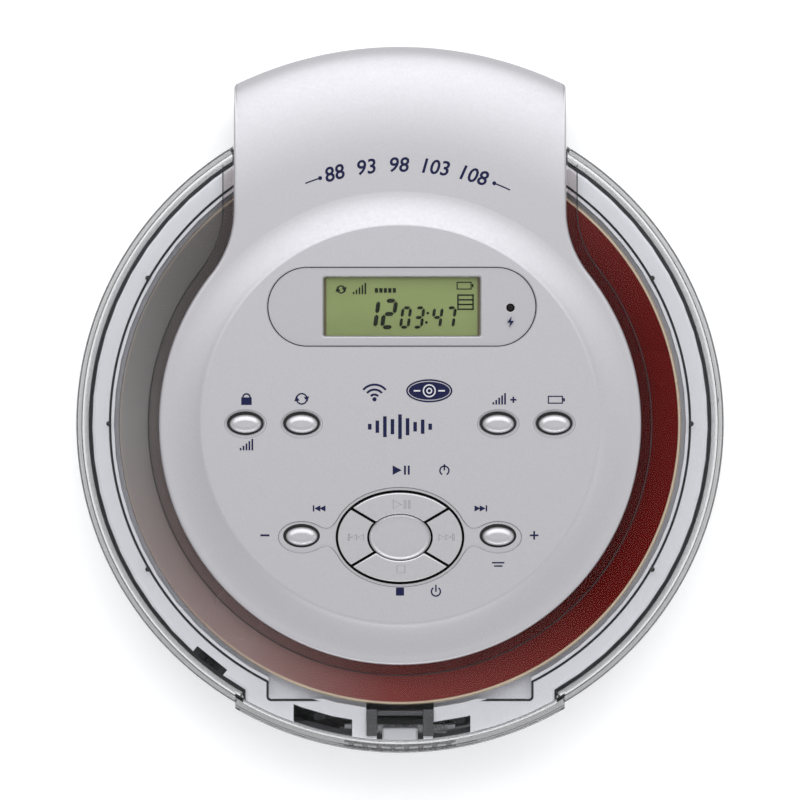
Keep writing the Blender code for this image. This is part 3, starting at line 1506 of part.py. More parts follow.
def add_main_board():
    """Circuit board round the front and right side, with chips and the volume control."""
    front_turn = math.asin(-BOARD_LEFT / BOARD_FRONT_RADIUS)
    rear_turn = math.asin(BOARD_REAR / BOARD_RADIUS)
    step = -QUARTER + BOARD_STEP_ANGLE
    outline = arc((0, 0), BOARD_FRONT_RADIUS, -QUARTER - front_turn, step)
    outline += arc((0, 0), BOARD_RADIUS, step, rear_turn)
    outline += [
        (BOARD_INNER_X, BOARD_REAR), (BOARD_INNER_X, BOARD_INNER_Y), (BOARD_LEFT, BOARD_INNER_Y),
    ]
    hole = moved(ellipse(2 * BOARD_HOLE, 2 * BOARD_HOLE, PIN_STEPS), *POST_PLACES[3])
    board = slab("main_board", [outline, hole], BOARD_BOTTOM, board_top())
    middle = (BOARD_BOTTOM + board_top()) / 2
    for i, (x, y, length, width) in enumerate(CHIPS):
        join(board, box(
            f"chip_{i + 1}", x - length / 2, x + length / 2, y - width / 2, y + width / 2,
            middle, board_top() + CHIP_HEIGHT,
        ))
    place = (VOLUME_X, VOLUME_Y)
    join(board, cylinder(
        "volume_control", VOLUME_POT_RADIUS, middle, VOLUME_BOTTOM - CLEARANCE, place,
    ))
    join(board, cylinder(
        "volume_shaft", VOLUME_SHAFT_RADIUS, middle, VOLUME_BOTTOM + VOLUME_WALL, place, PIN_STEPS,
    ))
    return finish(board, BOARD_LAMINATE)


def add_volume_wheel():
    """Thumb wheel with a ribbed rim that stands just proud of the side wall."""
    rim = []
    step = 4 * QUARTER / VOLUME_RIBS
    for i in range(VOLUME_RIBS):
        for radius, share in (
            (VOLUME_RADIUS - VOLUME_RIB_DEPTH, 0), (VOLUME_RADIUS, 1 / 4),
            (VOLUME_RADIUS, 1 / 2), (VOLUME_RADIUS - VOLUME_RIB_DEPTH, 3 / 4),
        ):
            angle = (i + share) * step
            rim.append((radius * math.cos(angle), radius * math.sin(angle)))
    bore = VOLUME_SHAFT_RADIUS + CLEARANCE
    wheel = slab(
        "volume_wheel", [rim, ellipse(2 * bore, 2 * bore, PIN_STEPS)],
        VOLUME_BOTTOM, VOLUME_BOTTOM + VOLUME_WALL, (VOLUME_X, VOLUME_Y),
    )
    return finish(wheel, BLACK_PLASTIC)


def add_headphone_jack():
    """Socket body on the board with a barrel in the right wall."""
    face = math.sqrt((RING_RADIUS - BASE_INSET) ** 2 - PHONES_Y ** 2) - CLEARANCE
    body_face = math.sqrt((RING_RADIUS - BASE_INSET - CASE_WALL) ** 2
                          - (abs(PHONES_Y) + PHONES_HALF) ** 2) - CLEARANCE
    jack = box(
        "headphone_jack", body_face - PHONES_LENGTH, body_face, PHONES_Y - PHONES_HALF,
        PHONES_Y + PHONES_HALF, board_top() + CLEARANCE, PHONES_Z + PHONES_HALF,
    )
    join(jack, cross_cylinder(
        "phones_barrel", PHONES_BARREL, body_face - PHONES_HALF, face, PHONES_Y, PHONES_Z,
    ))
    cut(jack, cross_cylinder(
        "phones_bore", PHONES_BORE, face - PHONES_BORE_DEPTH, face + OVERRUN,
        PHONES_Y, PHONES_Z, PIN_STEPS,
    ))
    return finish(jack, BLACK_PLASTIC)


def power_face():
    """Inner face of the tongue's left wall."""
    return -TONGUE_HALF + BASE_INSET + CASE_WALL


def add_power_jack():
    """Power socket in the tongue's left wall, with its centre pin."""
    body = power_face() + CLEARANCE
    face = -TONGUE_HALF + BASE_INSET + CLEARANCE
    seat = CASE_BOTTOM + DOOR_WALL + 2 * CLEARANCE + FLOOR_WALL
    jack = box(
        "power_jack", body, body + POWER_LENGTH, POWER_Y - POWER_HALF, POWER_Y + POWER_HALF,
        seat, POWER_Z + POWER_HALF,
    )
    join(jack, cross_cylinder(
        "power_barrel", POWER_BARREL, face, body + POWER_HALF, POWER_Y, POWER_Z,
    ))
    bore_end = face + POWER_BORE_DEPTH
    cut(jack, cross_cylinder("power_bore", POWER_BORE, face - OVERRUN, bore_end, POWER_Y, POWER_Z))
    join(jack, cross_cylinder(
        "power_pin", POWER_PIN_RADIUS, face + CLEARANCE, bore_end + CLEARANCE,
        POWER_Y, POWER_Z, PIN_STEPS // 2,
    ))
    return finish(jack, BLACK_PLASTIC)


# Latch

def circle_front(radius, x):
    """The y of a circle's front side at x."""
    return -math.sqrt(radius ** 2 - x ** 2)


def slot_front(*ends):
    """The y just in front of the latch slots' inner wall, for a piece between two x values."""
    return circle_front(SLOT_INNER + CLEARANCE, min(abs(x) for x in ends))


def hook_places():
    """Left faces of the two lid hooks."""
    return [left + CLEARANCE for left, _right in HOOK_SLOTS]


def catch_left(hook_left):
    """Left end of the catch that belongs to a hook: just past the hook's nose."""
    return hook_left + HOOK_WIDTH + HOOK_NOSE + CLEARANCE


def bar_top():
    return FLANGE_TOP


def add_latch_slider():
    """Curved bar with two catches, the stem to the open knob and the spring arm."""
    inner = LATCH_BAR_INNER
    outer = inner + LATCH_BAR_WIDTH
    bottom = bar_top() - LATCH_BAR_HEIGHT
    left_turn = math.asin(-LATCH_BAR_LEFT / inner)
    right_turn = math.asin(LATCH_BAR_RIGHT / inner)
    outline = arc((0, 0), outer, -QUARTER - left_turn, -QUARTER + right_turn)
    outline += arc((0, 0), inner, -QUARTER + right_turn, -QUARTER - left_turn)
    slider = slab("latch_slider", [outline], bottom, bar_top())
    for i, hook_left in enumerate(hook_places()):
        left = catch_left(hook_left)
        web = left + CATCH_BITE
        web_right = web + CATCH_WIDTH
        rear = circle_front(inner, min(abs(web), abs(web_right)))
        front = rear - CATCH_DEPTH
        catch_bottom = bar_top() + CATCH_LIFT
        catch_top = catch_bottom + CATCH_HEIGHT
        join(slider, box(
            f"catch_web_{i + 1}", web, web_right, front + CLEARANCE, rear,
            bottom + CLEARANCE, catch_top,
        ))
        join(slider, box(
            f"catch_{i + 1}", left, web + CATCH_WIDTH / 2, front, rear - CLEARANCE,
            catch_bottom, catch_top - CLEARANCE,
        ))
    stem_rear = -KNOB_INNER
    stem_front = stem_rear - KNOB_INNER_WIDTH
    join(slider, box(
        "knob_plate", -KNOB_STEM_HALF, KNOB_STEM_HALF, stem_front, stem_rear,
        KNOB_BOTTOM + CLEARANCE, bottom + LATCH_BAR_HEIGHT / 2,
    ))
    join(slider, box(
        "spring_arm", KNOB_STEM_HALF - SPRING_ARM_WIDTH, KNOB_STEM_HALF - CLEARANCE,
        stem_front + KNOB_INNER_WIDTH / 2, stem_rear + SPRING_ARM_REACH,
        SPRING_Z - SPRING_RADIUS - CLEARANCE, SPRING_Z + SPRING_RADIUS + CLEARANCE,
    ))
    return finish(slider, BLACK_PLASTIC)


def knob_outline():
    """Grip plate that follows the case wall, with ribs on its outer side."""
    outer = KNOB_REACH - KNOB_RECESS
    inner = KNOB_INNER + KNOB_INNER_WIDTH + CLEARANCE
    pitch = 2 * KNOB_HALF / KNOB_RIBS
    points = [(-KNOB_HALF, -inner), (-KNOB_HALF, -math.sqrt(outer ** 2 - KNOB_HALF ** 2))]
    for i in range(KNOB_RIBS):
        middle = -KNOB_HALF + (i + 1 / 2) * pitch
        left = middle - KNOB_RIB_WIDTH / 2
        right = middle + KNOB_RIB_WIDTH / 2
        for x, radius in ((left, outer), (left, KNOB_REACH), (right, KNOB_REACH), (right, outer)):
            points.append((x, -math.sqrt(radius ** 2 - x ** 2)))
    points += [(KNOB_HALF, -math.sqrt(outer ** 2 - KNOB_HALF ** 2)), (KNOB_HALF, -inner)]
    return points


def add_open_knob():
    """Ribbed grip in the front wall's window, clipped to the slider."""
    knob = slab("open_knob", [knob_outline()], KNOB_BOTTOM, KNOB_BOTTOM + KNOB_HEIGHT)
    return finish(knob, BRIGHT_PLASTIC)


def spring_y():
    return -KNOB_INNER + SPRING_ARM_REACH - SPRING_RADIUS - SPRING_WIRE


def spring_start():
    return KNOB_STEM_HALF + SPRING_WIRE


def spring_end():
    """Right end of the spring, ends included."""
    return spring_start() + SPRING_LENGTH + 4 * SPRING_WIRE


def add_latch_spring():
    """Coil that pushes the slider back to the left."""
    points = coil_points(SPRING_RADIUS - SPRING_WIRE, SPRING_RADIUS - SPRING_WIRE,
                         SPRING_LENGTH, SPRING_TURNS, SPRING_WIRE)
    place = (spring_start() + 2 * SPRING_WIRE, spring_y(), SPRING_Z)
    return finish(coil("latch_spring", points, SPRING_WIRE, place), SPRING_METAL)


def add_latch_guide():
    """Small bright block in the centre recess of the deck."""
    rear = -LATCH_BAR_INNER - LATCH_BAR_WIDTH - CLEARANCE
    guide = slab(
        "latch_guide", [rounded_rectangle(GUIDE_HALF, GUIDE_DEPTH / 2, GUIDE_ROUNDING)],
        FLANGE_TOP + CLEARANCE, FLANGE_TOP + CLEARANCE + GUIDE_HEIGHT,
        (0, rear - GUIDE_DEPTH / 2),
    )
    round_rim(guide, GUIDE_ROUNDING, 1)
    return finish(guide, BRIGHT_PLASTIC)


def add_lid_switch():
    """Switch body that stands on the case floor, its button through the deck's flange."""
    top = FLANGE_BOTTOM - CLEARANCE
    rear = -SWITCH_RING + SWITCH_DEPTH / 2
    switch = box(
        "lid_switch", -SWITCH_WIDTH / 2, SWITCH_WIDTH / 2, rear - SWITCH_DEPTH, rear,
        CASE_INSIDE + CLEARANCE, top,
    )
    at_tab(switch)
    join(switch, cylinder(
        "switch_button", SWITCH_BUTTON_RADIUS, top - OVERRUN, top + SWITCH_BUTTON_PROUD,
        switch_place(), PIN_STEPS // 2,
    ))
    return finish(switch, BLACK_PLASTIC)


# Lid

def add_lid_ring():
    """Clear ring with skirt, front lip, two hooks and the switch tab."""
    shoulder_in = RING_RADIUS - RING_SHOULDER
    shoulder_down = RING_TOP - RING_SHOULDER
    section = [(RING_INNER, RING_TOP)]
    section += [
        (x, z) for x, z in arc(
            (shoulder_in, shoulder_down), RING_SHOULDER, QUARTER, 0, QUARTER / SHOULDER_POINTS)
    ]
    wall_in = RING_RADIUS - RING_WALL
    section += [
        (RING_RADIUS, LID_BOTTOM),
        (wall_in, LID_BOTTOM),
        (wall_in, RING_UNDER - RING_INNER_SHOULDER),
        (wall_in - RING_INNER_SHOULDER, RING_UNDER),
        (RING_INNER, RING_UNDER),
    ]
    ring = turned("lid_ring", section, True)
    lip = slab(
        "front_lip", [front_band(shoulder_in - CLEARANCE, LIP_RADIUS, LIP_HALF)],
        LID_BOTTOM, RING_TOP,
    )
    round_rim(lip, LIP_CORNER, 2)
    join(ring, lip)
    cut(ring, slab(
        "lip_room", [lip_room_outline()], LID_BOTTOM - OVERRUN, RING_UNDER + CLEARANCE,
    ))
    opening = TONGUE_HALF + CLEARANCE
    cut(ring, box(
        "tongue_opening", -opening, opening, RING_CUT_Y, RING_RADIUS + OVERRUN, 0, KEY_TOP,
    ))
    for i, left in enumerate(hook_places()):
        right = left + HOOK_WIDTH
        rear = slot_front(left, right)
        hook = box(
            f"hook_{i + 1}", left, right, rear - HOOK_DEPTH, rear,
            LID_BOTTOM, RING_UNDER + RING_PLATE / 2,
        )
        middle = left + HOOK_WIDTH / 2
        nose_rear = slot_front(middle, right + HOOK_NOSE)
        join(hook, box(
            f"hook_nose_{i + 1}", middle, right + HOOK_NOSE, nose_rear - HOOK_NOSE, nose_rear,
            LID_BOTTOM + CLEARANCE / 2, LID_BOTTOM + HOOK_NOSE_HEIGHT,
        ))
        join(ring, hook)
    tab_rear = -SWITCH_RING + TAB_DEPTH / 2
    join(ring, at_tab(box(
        "switch_tab", -TAB_WIDTH / 2, TAB_WIDTH / 2, tab_rear - TAB_DEPTH, tab_rear,
        FLANGE_BOTTOM + SWITCH_BUTTON_PROUD, RING_UNDER + RING_PLATE / 2,
    )))
    return finish(ring, CLEAR_PLASTIC)


def lip_room_outline():
    """Room inside the front lip for the deck's front, stepped in beyond its sides."""
    side_radius = RING_RADIUS - RING_WALL - CLEARANCE
    front_radius = LIP_RADIUS - RING_WALL
    front_turn = math.asin((LIP_HALF - RING_WALL) / front_radius)
    step_turn = math.asin((LIP_HALF - RING_WALL) / side_radius)
    side_turn = math.asin((LIP_HALF + OVERRUN) / side_radius)
    inner_turn = math.asin((LIP_HALF + OVERRUN) / SLOT_INNER)
    points = arc((0, 0), side_radius, -QUARTER - side_turn, -QUARTER - step_turn)
    points += arc((0, 0), front_radius, -QUARTER - front_turn, -QUARTER + front_turn)
    points += arc((0, 0), side_radius, -QUARTER + step_turn, -QUARTER + side_turn)
    points += arc((0, 0), SLOT_INNER, -QUARTER + inner_turn, -QUARTER - inner_turn)
    return joined(points)


def add_lid_cover():
    """Silver cover: raised round top, flat band, and the tongue that falls to the hinge."""
    cover = cover_form("lid_cover", 0)
    keep_inside(cover, slab(
        "cover_outline",
        [tongue_outline(COVER_RADIUS, TONGUE_HALF, TONGUE_REAR, COVER_FILLET, TONGUE_CORNER)],
        LID_BOTTOM, KEY_TOP,
    ))
    inside = cover_form("cover_inside", COVER_WALL, COVER_INSIDE_STEPS)
    wall_front = RING_CUT_Y + CLEARANCE
    notch_end = math.sqrt((COVER_RADIUS + COVER_FILLET) ** 2 - (TONGUE_HALF + COVER_FILLET) ** 2)
    notch_rear = notch_end + RUNNING_GAP
    wall_out = TONGUE_HALF - CLEARANCE
    wall_in = TONGUE_HALF - TONGUE_WALL
    right = [
        (0, -DISC_RADIUS), (DISC_RADIUS, -DISC_RADIUS), (DISC_RADIUS, notch_rear),
        (wall_out, notch_rear), (wall_out, wall_front), (wall_in, wall_front),
        (wall_in, TONGUE_REAR + OVERRUN), (0, TONGUE_REAR + OVERRUN),
    ]
    keep_inside(inside, slab("cover_room", [mirrored(right)], 0, KEY_TOP))
    cut(cover, inside)
    cut(cover, cylinder(
        "deck_room", RING_RADIUS - RING_WALL, 0, RING_UNDER, (0, 0), HALF_STEPS,
    ))

    for name, side in (("left", -1), ("right", 1)):
        edges = sorted((side * lug_inner(), side * (lug_inner() + LUG_WIDTH)))
        lug = box(
            f"lug_{name}", edges[0], edges[1], HINGE_Y - KNUCKLE_RADIUS, HINGE_Y + KNUCKLE_RADIUS,
            HINGE_Z, KEY_TOP,
        )
        join(lug, cross_cylinder(
            f"lug_eye_{name}", KNUCKLE_RADIUS, edges[0], edges[1], HINGE_Y, HINGE_Z, PIN_STEPS,
        ))
        keep_inside(lug, cover_form(f"lug_limit_{name}", COVER_WALL / 2, COVER_INSIDE_STEPS))
        join(cover, lug)
        cut(cover, pin_bore(f"lug_bore_{name}", side))

    holes = [moved(stadium(PANEL_LENGTH + 2 * CLEARANCE, PANEL_WIDTH + 2 * CLEARANCE),
                   PANEL_X, PANEL_Y)]
    holes.append(moved(ellipse(PAD_LENGTH + 2 * PAD_HOLE_GAP, PAD_WIDTH + 2 * PAD_HOLE_GAP,
                               HALF_STEPS), 0, PAD_Y))
    cut(cover, slab("cover_holes", holes, BAND_UNDER - OVERRUN, KEY_TOP))
    length, width = key_hole_size()
    hole = stadium(length, width)
    rise = KEY_CHAMFER + KEY_PROUD
    mouth = stadium(length + 2 * rise, width + 2 * rise)
    for name, place in oval_places():
        cut(cover, lofted(
            f"hole_{name}",
            [(hole, BAND_UNDER - OVERRUN), (hole, MESA_TOP - KEY_CHAMFER), (mouth, KEY_TOP)],
            place,
        ))
    return finish(cover, SILVER_PAINT)


def lug_inner():
    return KNUCKLE_INNER + KNUCKLE_WIDTH + CLEARANCE


def key_hole_size():
    return (KEY_LENGTH + 2 * KEY_HOLE_MARGIN, KEY_WIDTH + 2 * KEY_HOLE_MARGIN)


def oval_places():
    """Names and centres of the six oval keys."""
    return (
        ("key_oval_row_1", (-KEY_ROW_OUTER, 0)),
        ("key_oval_row_2", (-KEY_ROW_INNER, 0)),
        ("key_oval_row_3", (KEY_ROW_INNER, 0)),
        ("key_oval_row_4", (KEY_ROW_OUTER, 0)),
        ("key_oval_low_left", (-KEY_ROW_INNER, KEY_LOWER_Y)),
        ("key_oval_low_right", (KEY_ROW_INNER, KEY_LOWER_Y)),
    )


def key_foot():
    """Height of a plunger's foot, its travel above the lid board."""
    return LID_BOARD_TOP + CLEARANCE + KEY_TRAVEL


def add_oval_keys():
    """Domed oval caps with a retaining flange under the cover and a plunger."""
    keys = []
    flange_top = MESA_UNDER - CLEARANCE
    flange_bottom = flange_top - KEY_FLANGE_WALL
    for name, place in oval_places():
        key = slab(name, [stadium(KEY_LENGTH, KEY_WIDTH)], flange_bottom, KEY_TOP, place)
        round_rim(key, KEY_DOME, 2)
        join(key, slab(
            f"flange_{name}", [stadium(KEY_LENGTH + 2 * KEY_FLANGE, KEY_WIDTH + 2 * KEY_FLANGE)],
            flange_bottom + KEY_FLANGE_WALL * FLANGE_SHARE, flange_top, place,
        ))
        join(key, cylinder(
            f"plunger_{name}", KEY_PLUNGER_RADIUS, key_foot(), flange_top, place, FINE_STEPS,
        ))
        keys.append(finish(key, BRIGHT_PLASTIC))
    return keys


def pad_point(angle, length, width):
    """Point on an ellipse in the direction of a plan angle."""
    reach = 1 / math.hypot(math.cos(angle) / (length / 2), math.sin(angle) / (width / 2))
    return (reach * math.cos(angle), reach * math.sin(angle))


def sector_outline(start, end, inner_gap, outer_gap, half_gap):
    """Piece of the pad between two split lines, with parallel gaps along them."""
    outer = (PAD_LENGTH + 2 * outer_gap, PAD_WIDTH + 2 * outer_gap)
    inner = (PAD_CENTRE_LENGTH + 2 * inner_gap, PAD_CENTRE_WIDTH + 2 * inner_gap)
    points = []
    for (length, width), order in ((outer, 1), (inner, -1)):
        side = []
        for i in range(PAD_STEPS + 1):
            angle = start + (end - start) * i / PAD_STEPS
            side.append(pad_point(angle, length, width))
        first = side[0]
        last = side[-1]
        side[0] = (first[0] - half_gap * math.sin(start), first[1] + half_gap * math.cos(start))
        side[-1] = (last[0] + half_gap * math.sin(end), last[1] - half_gap * math.cos(end))
        points += side[::order]
    return joined(points)


def pad_sectors():
    """Names and split angles of the four pad keys."""
    straight = 2 * QUARTER
    return (
        ("key_pad_next", -PAD_SPLIT, PAD_SPLIT),
        ("key_pad_play", PAD_SPLIT, straight - PAD_SPLIT),
        ("key_pad_previous", straight - PAD_SPLIT, straight + PAD_SPLIT),
        ("key_pad_stop", straight + PAD_SPLIT, 2 * straight - PAD_SPLIT),
    )


def add_pad():
    """Four sector keys round a fixed oval."""
    flange_top = MESA_UNDER - CLEARANCE
    flange_bottom = flange_top - KEY_FLANGE_WALL
    top = KEY_TOP - PAD_SINK
    keys = []
    for name, start, end in pad_sectors():
        key = slab(
            name, [sector_outline(start, end, PAD_GAP, 0, PAD_GAP / 2)],
            flange_bottom, top, (0, PAD_Y),
        )
        round_rim(key, KEY_DOME / 2, 2)
        join(key, slab(
            f"flange_{name}",
            [sector_outline(start, end, PAD_GAP + CLEARANCE, KEY_FLANGE, PAD_GAP)],
            flange_bottom + KEY_FLANGE_WALL * FLANGE_SHARE, flange_top, (0, PAD_Y),
        ))
        middle = (start + end) / 2
        inner = pad_point(middle, PAD_CENTRE_LENGTH, PAD_CENTRE_WIDTH)
        outer = pad_point(middle, PAD_LENGTH, PAD_WIDTH)
        place = ((inner[0] + outer[0]) / 2, (inner[1] + outer[1]) / 2 + PAD_Y)
        join(key, cylinder(
            f"plunger_{name}", KEY_PLUNGER_RADIUS, key_foot(), flange_top, place, FINE_STEPS,
        ))
        keys.append(finish(key, SILVER_PAINT))
    centre = slab(
        "pad_centre", [ellipse(PAD_CENTRE_LENGTH, PAD_CENTRE_WIDTH, SMALL_STEPS)],
        LID_BOARD_TOP + CLEARANCE, top, (0, PAD_Y),
    )
    round_rim(centre, KEY_DOME, 2)
    finish(centre, SILVER_PAINT)
    return keys, centre


def add_display():
    """Display panel, the module under its window, and the charge lamp."""
    panel_top = MESA_TOP - PANEL_RECESS
    panel_bottom = panel_top - PANEL_WALL
    lamp_eye = moved(
        ellipse(2 * LAMP_HOLE, 2 * LAMP_HOLE, PIN_STEPS), LAMP_X - PANEL_X, LAMP_Y - PANEL_Y,
    )
    panel = slab(
        "display_panel", [stadium(PANEL_LENGTH, PANEL_WIDTH), lamp_eye],
        panel_bottom, panel_top, (PANEL_X, PANEL_Y),
    )
    finish(panel, PANEL_PLASTIC)
    module = box(
        "lcd_module", PANEL_X - MODULE_LENGTH / 2, PANEL_X + MODULE_LENGTH / 2,
        PANEL_Y - MODULE_WIDTH / 2, PANEL_Y + MODULE_WIDTH / 2,
        LID_BOARD_TOP + CLEARANCE, panel_bottom - CLEARANCE,
    )
    finish(module, LCD_GLASS)
    lamp = cylinder(
        "charge_lamp", LAMP_RADIUS, LID_BOARD_TOP + CLEARANCE, panel_top - LAMP_SINK,
        (LAMP_X, LAMP_Y), PIN_STEPS,
    )
    finish(lamp, BLACK_PLASTIC)
    return panel, module, lamp


def add_lid_board():
    board = cylinder(
        "lid_board", LID_BOARD_RADIUS, LID_BOARD_BOTTOM, LID_BOARD_TOP, (0, 0), HALF_STEPS,
    )
    return finish(board, BOARD_LAMINATE)


def add_lid_liner():
    """Inner plate over the disc, with posts for the board above."""
    bottom = LINER_TOP - LINER_WALL
    section = [
        (LINER_HOLE, LINER_TOP),
        (LINER_RADIUS, LINER_TOP),
        (LINER_RADIUS, bottom),
        (LINER_HOLE, bottom),
    ]
    liner = turned("lid_liner", section, True)
    for i in range(LINER_POSTS):
        angle = (i + 1 / 2) * QUARTER
        place = (LINER_POST_RING * math.cos(angle), LINER_POST_RING * math.sin(angle))
        join(liner, cylinder(
            f"liner_post_{i + 1}", LINER_POST_RADIUS, LINER_TOP - LINER_WALL / 2,
            LINER_TOP + LINER_POST_HEIGHT, place, FINE_STEPS,
        ))
    return finish(liner, DECK_PLASTIC)


def add_lid_ribbon():
    """Flat cable from the lid board under the tongue to a curl on the hinge axis."""
    name = "lid_ribbon"
    level = LID_BOARD_TOP + CLEARANCE + RIBBON_WALL / 2
    route = [(RIBBON_START, level), (REAR_START, level)]
    for i in range(RIBBON_CURL_POINTS + 1):
        angle = QUARTER + (3 * QUARTER) * i / RIBBON_CURL_POINTS
        route.append((
            HINGE_Y + RIBBON_CURL * math.cos(angle), HINGE_Z + RIBBON_CURL * math.sin(angle),
        ))
    work = bmesh.new()
    edges = []
    for x in (-RIBBON_HALF, RIBBON_HALF):
        edges.append([work.verts.new((x, y, z)) for y, z in route])
    for i in range(len(route) - 1):
        work.faces.new((edges[0][i], edges[1][i], edges[1][i + 1], edges[0][i + 1]))
    ribbon = solid_from_bmesh(name, work, (RIBBON_X, 0, 0))
    thicken = ribbon.modifiers.new("thickness", 'SOLIDIFY')
    thicken.thickness = RIBBON_WALL
    thicken.offset = 0
    return finish(ribbon, BLACK_PLASTIC)


# Joints: an empty on each axis, with the pieces that move about it as its children

def add_axis(name, place):
    """Empty on a joint axis."""
    empty = bpy.data.objects.new(name, None)
    empty.empty_display_size = KNUCKLE_RADIUS
    empty.location = PLAYER + Vector(place)
    PARTS.objects.link(empty)
    return empty


def attach(empty, pieces):
    """Parent pieces to an empty without moving them."""
    bpy.context.view_layer.update()
    for piece in pieces:
        piece.parent = empty
        piece.matrix_parent_inverse = empty.matrix_world.inverted()


def build():
    add_bottom_case()
    add_contacts()
    add_feet()
    add_top_deck()
    add_hinge_pins()
    add_spindle_motor()
    add_mech_chassis()
    add_dampers()
    add_guide_rods()
    add_sled_motor()
    add_main_board()
    add_headphone_jack()
    add_power_jack()
    add_latch_spring()
    add_latch_guide()
    add_lid_switch()
    door = add_battery_door()
    attach(add_axis("door_slide_axis", (0, DOOR_FRONT, CASE_BOTTOM)), [door])
    disc = add_disc()
    hub = add_turntable_hub()
    attach(add_axis("spindle_axis", (0, 0, WELL_FLOOR)), [disc, hub])
    sled = add_pickup_sled()
    lens = add_pickup_lens()
    attach(add_axis("sled_axis", (-LENS_PLACE, 0, rod_height())), [sled, lens])
    gear_place = (DRIVE_GEAR_X, drive_gear_y(), DRIVE_WHEEL_BOTTOM)
    attach(add_axis("drive_gear_axis", gear_place), [add_drive_gear()])
    pinion_place = (*motor_pinion_place(), SLED_MOTOR_TOP)
    attach(add_axis("motor_pinion_axis", pinion_place), [add_motor_pinion()])
    wheel_place = (VOLUME_X, VOLUME_Y, VOLUME_BOTTOM)
    attach(add_axis("volume_axis", wheel_place), [add_volume_wheel()])
    slider = add_latch_slider()
    knob = add_open_knob()
    attach(add_axis("latch_axis", (0, -KNOB_INNER, KNOB_BOTTOM)), [slider, knob])
    pad_keys, pad_centre = add_pad()
    lid = [
        add_lid_ring(), add_lid_cover(), add_lid_board(), add_lid_liner(), add_lid_ribbon(),
        pad_centre, *add_display(), *add_oval_keys(), *pad_keys,
    ]
    attach(add_axis("lid_hinge_axis", (0, HINGE_Y, HINGE_Z)), lid)


build()
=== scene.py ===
"""Looks of the portable CD player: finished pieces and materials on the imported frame.

Shapes are written in millimetres, counted from the disc spindle in plan and from the
floor in height, and become metres when their mesh is made.
"""
import math

import bmesh
import bpy
from mathutils import Matrix, Vector


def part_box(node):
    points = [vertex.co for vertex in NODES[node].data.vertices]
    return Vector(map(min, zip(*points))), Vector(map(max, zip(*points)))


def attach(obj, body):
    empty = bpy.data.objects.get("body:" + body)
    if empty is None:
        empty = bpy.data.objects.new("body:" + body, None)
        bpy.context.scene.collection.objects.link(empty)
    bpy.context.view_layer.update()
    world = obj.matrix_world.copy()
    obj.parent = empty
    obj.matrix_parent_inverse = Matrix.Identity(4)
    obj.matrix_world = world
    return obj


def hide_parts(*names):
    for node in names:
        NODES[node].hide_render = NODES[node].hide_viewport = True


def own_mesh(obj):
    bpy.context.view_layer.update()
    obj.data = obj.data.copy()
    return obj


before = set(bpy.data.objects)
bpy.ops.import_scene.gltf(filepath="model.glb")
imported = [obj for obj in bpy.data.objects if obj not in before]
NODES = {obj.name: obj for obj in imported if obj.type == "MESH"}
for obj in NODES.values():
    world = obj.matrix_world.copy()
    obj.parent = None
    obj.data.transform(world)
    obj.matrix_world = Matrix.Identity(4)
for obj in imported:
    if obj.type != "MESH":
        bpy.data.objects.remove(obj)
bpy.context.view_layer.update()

MM = 0.001
TURN = 2 * math.pi
LEVEL = 0.999995

disc_low, disc_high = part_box("disc")
SPINDLE_Y = (disc_low.y + disc_high.y) / 2 / MM
DISC_REACH = (disc_high.x - disc_low.x) / 2 / MM


def node_box(node):
    """Lowest and highest corner of a CAD node, in millimetres from the spindle."""
    return tuple(
        Vector((corner.x / MM, corner.y / MM - SPINDLE_Y, corner.z / MM))
        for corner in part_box(node)
    )


def heights(node):
    """Foot and top of a CAD node."""
    low, high = node_box(node)
    return low.z, high.z


# Heights, from the frame
RING_WALL = 1.8
RING_FOOT = heights("lid_ring")[0]
RING_TOP = heights("lid_liner")[1] + 1.6
RING_UNDER = RING_TOP - RING_WALL
COVER_FOOT, COVER_TOP = heights("lid_cover")
BAND_TOP = COVER_TOP - 1.7
KEY_FOOT, KEY_TOP = heights("key_oval_row_1")
PAD_TOP = heights("pad_centre")[1]
PANEL_FOOT, PANEL_TOP = heights("display_panel")

# Outline of the silver cover
COVER_REACH = 51.2
TONGUE_HALF = 35.3
TONGUE_REAR = 80.5
TONGUE_CORNER = 1.2
TONGUE_SIDE = TONGUE_HALF - TONGUE_CORNER
TONGUE_BACK = math.sqrt((TONGUE_REAR - TONGUE_CORNER) ** 2 - TONGUE_SIDE ** 2)
COVER_FILLET = 22.0
FILLET_X = TONGUE_HALF + COVER_FILLET
FILLET_Y = math.sqrt((COVER_REACH + COVER_FILLET) ** 2 - FILLET_X ** 2)

# Angles from the rear where that outline changes
CORNER_TURNS = (math.atan2(TONGUE_SIDE, TONGUE_BACK), math.atan2(TONGUE_HALF, TONGUE_BACK))
FILLET_TURNS = (math.atan2(TONGUE_HALF, FILLET_Y), math.atan2(FILLET_X, FILLET_Y))

# Section of the silver cover
COVER_WALL = 1.3
EDGE_ROUND = 0.7
REAR_ROUND = 0.05
CREASE = 42.0
FLARE_END = 49.3
FLARE_POWER = 1.7
FLARE_SOFT_SHARE = 0.12
REAR_START = 58.0
REAR_SHOULDER = 20.0
RING_EDGE_REACH = 57.5
LUGS_LEFT = (-12.6, 9.6)
LUG_WIDTH = 3.0

# Clear ring
RING_REACH = 69.0
LIP_REACH = 70.0
LIP_HALF = 35.0
LIP_ROOM_HALF = 33.4
RING_INNER = 46.0
RING_GAP = 35.6
RING_GAP_Y = 38.0
SKIRT = 1.6
SKIRT_CURVE = 1.1
HOOKS = ((-22.4, -61.21), (7.3, -63.88))
HOOK_WIDTH = 2.7
TAB_TURN = math.radians(38.7)
TAB = (5.0, 64.3, 65.5)
PIP_REACH = 62.0
PIP_RADIUS = 0.55

